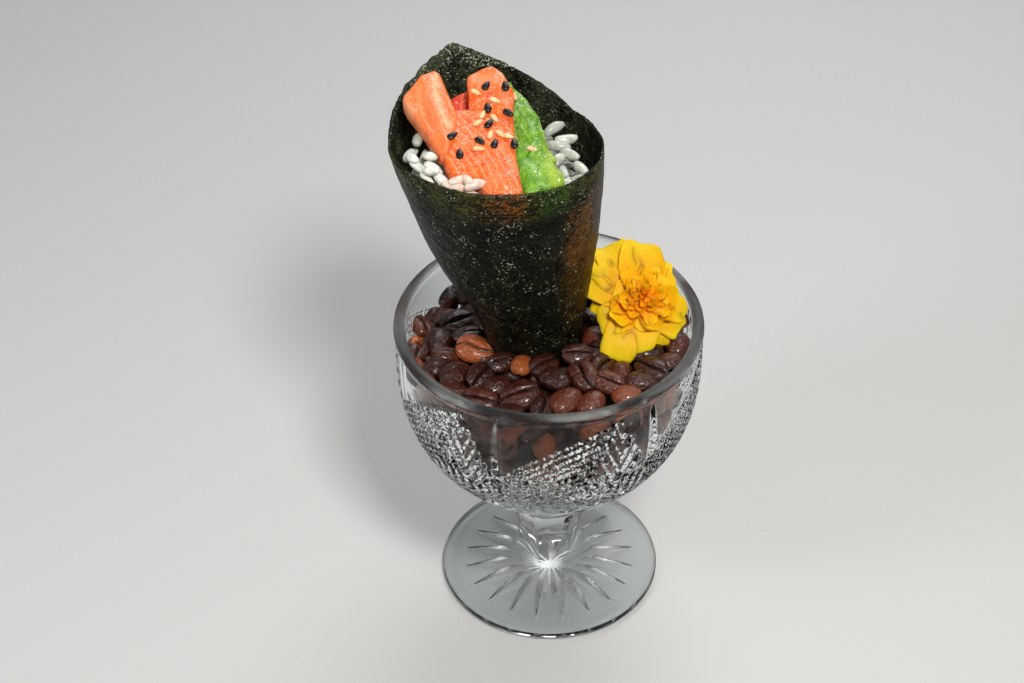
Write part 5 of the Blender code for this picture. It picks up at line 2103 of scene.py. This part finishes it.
@dataclass
class Studio:
    """The pale floor, the soft lamps and the camera. Places are in metres."""

    eye: Triple = (0.0, -0.45337, 0.45817)
    pitch: float = 39.0193
    yaw: float = -1.3493
    roll: float = -1.0678
    lens: float = 70.31
    target: Triple = (0.0, 0.0, 0.10)
    lamps: tuple[Softbox, ...] = (
        Softbox("key", (0.16, -0.44, 0.70), 0.15, 5.2, (1.0, 0.97, 0.93)),
        Softbox("side", (-0.50, -0.28, 0.46), 0.20, 1.3, (0.95, 0.98, 1.0)),
        Softbox("back", (0.14, 0.52, 0.68), 0.50, 3.2),
    )
    sky: Colour = (0.92, 0.94, 0.96)
    sky_strength: float = 0.18
    floor_reach: float = 3000.0
    floor_drop: float = 0.00005

    def build(self) -> None:
        """Makes the floor, the lamps, the sky and the camera."""
        far = self.floor_reach
        skin = Skin()
        skin.add([(-far, -far, 0), (far, -far, 0), (far, far, 0), (-far, far, 0)], [(0, 1, 2, 3)])
        floor = skin.make("floor", FloorFinish().material())
        floor.data.transform(Matrix.Translation((0, 0, -self.floor_drop)))
        world = bpy.data.worlds.new("sky")
        world.use_nodes = True
        back = world.node_tree.nodes["Background"]
        back.inputs["Color"].default_value = (*self.sky, 1.0)
        back.inputs["Strength"].default_value = self.sky_strength
        bpy.context.scene.world = world
        bpy.context.scene.view_settings.view_transform = "Standard"
        for lamp in self.lamps:
            self.hang(lamp)
        self.set_camera()

    def hang(self, lamp: Softbox) -> None:
        """Hangs a lamp, facing the object."""
        data = bpy.data.lights.new(lamp.name, "AREA")
        data.shape = "SQUARE"
        data.size = lamp.size
        data.energy = lamp.power
        data.color = lamp.colour
        made = bpy.data.objects.new(lamp.name, data)
        made.location = lamp.place
        away = Vector(lamp.place) - Vector(self.target)
        made.rotation_euler = away.to_track_quat("Z", "Y").to_euler()
        bpy.context.scene.collection.objects.link(made)

    def set_camera(self) -> None:
        """Places the camera at the photograph's viewing angle."""
        pitch, yaw, roll = (math.radians(angle) for angle in (self.pitch, self.yaw, self.roll))
        level = math.cos(pitch)
        ahead = Vector((math.sin(yaw) * level, math.cos(yaw) * level, -math.sin(pitch)))
        right = Vector((math.cos(yaw), -math.sin(yaw), 0.0))
        up = right.cross(ahead)
        side = right * math.cos(roll) + up * math.sin(roll)
        head = up * math.cos(roll) - right * math.sin(roll)
        data = bpy.data.cameras.new("camera")
        data.lens = self.lens
        data.sensor_width = 36.0
        data.clip_start = 0.01
        made = bpy.data.objects.new("camera", data)
        turn = Matrix((side, head, -ahead)).transposed().to_4x4()
        made.matrix_world = Matrix.Translation(self.eye) @ turn
        bpy.context.scene.collection.objects.link(made)
        bpy.context.scene.camera = made


def main() -> None:
    """Builds every piece in order."""
    dish, cone, flower = CutGlassDish(), NoriCone(), Marigold()
    dish.build()
    cone.build()
    Filling(cone).build()
    BeanHeap(dish, cone).build(flower)
    flower.build()
    Studio().build()


if __name__ == "__main__":
    main()
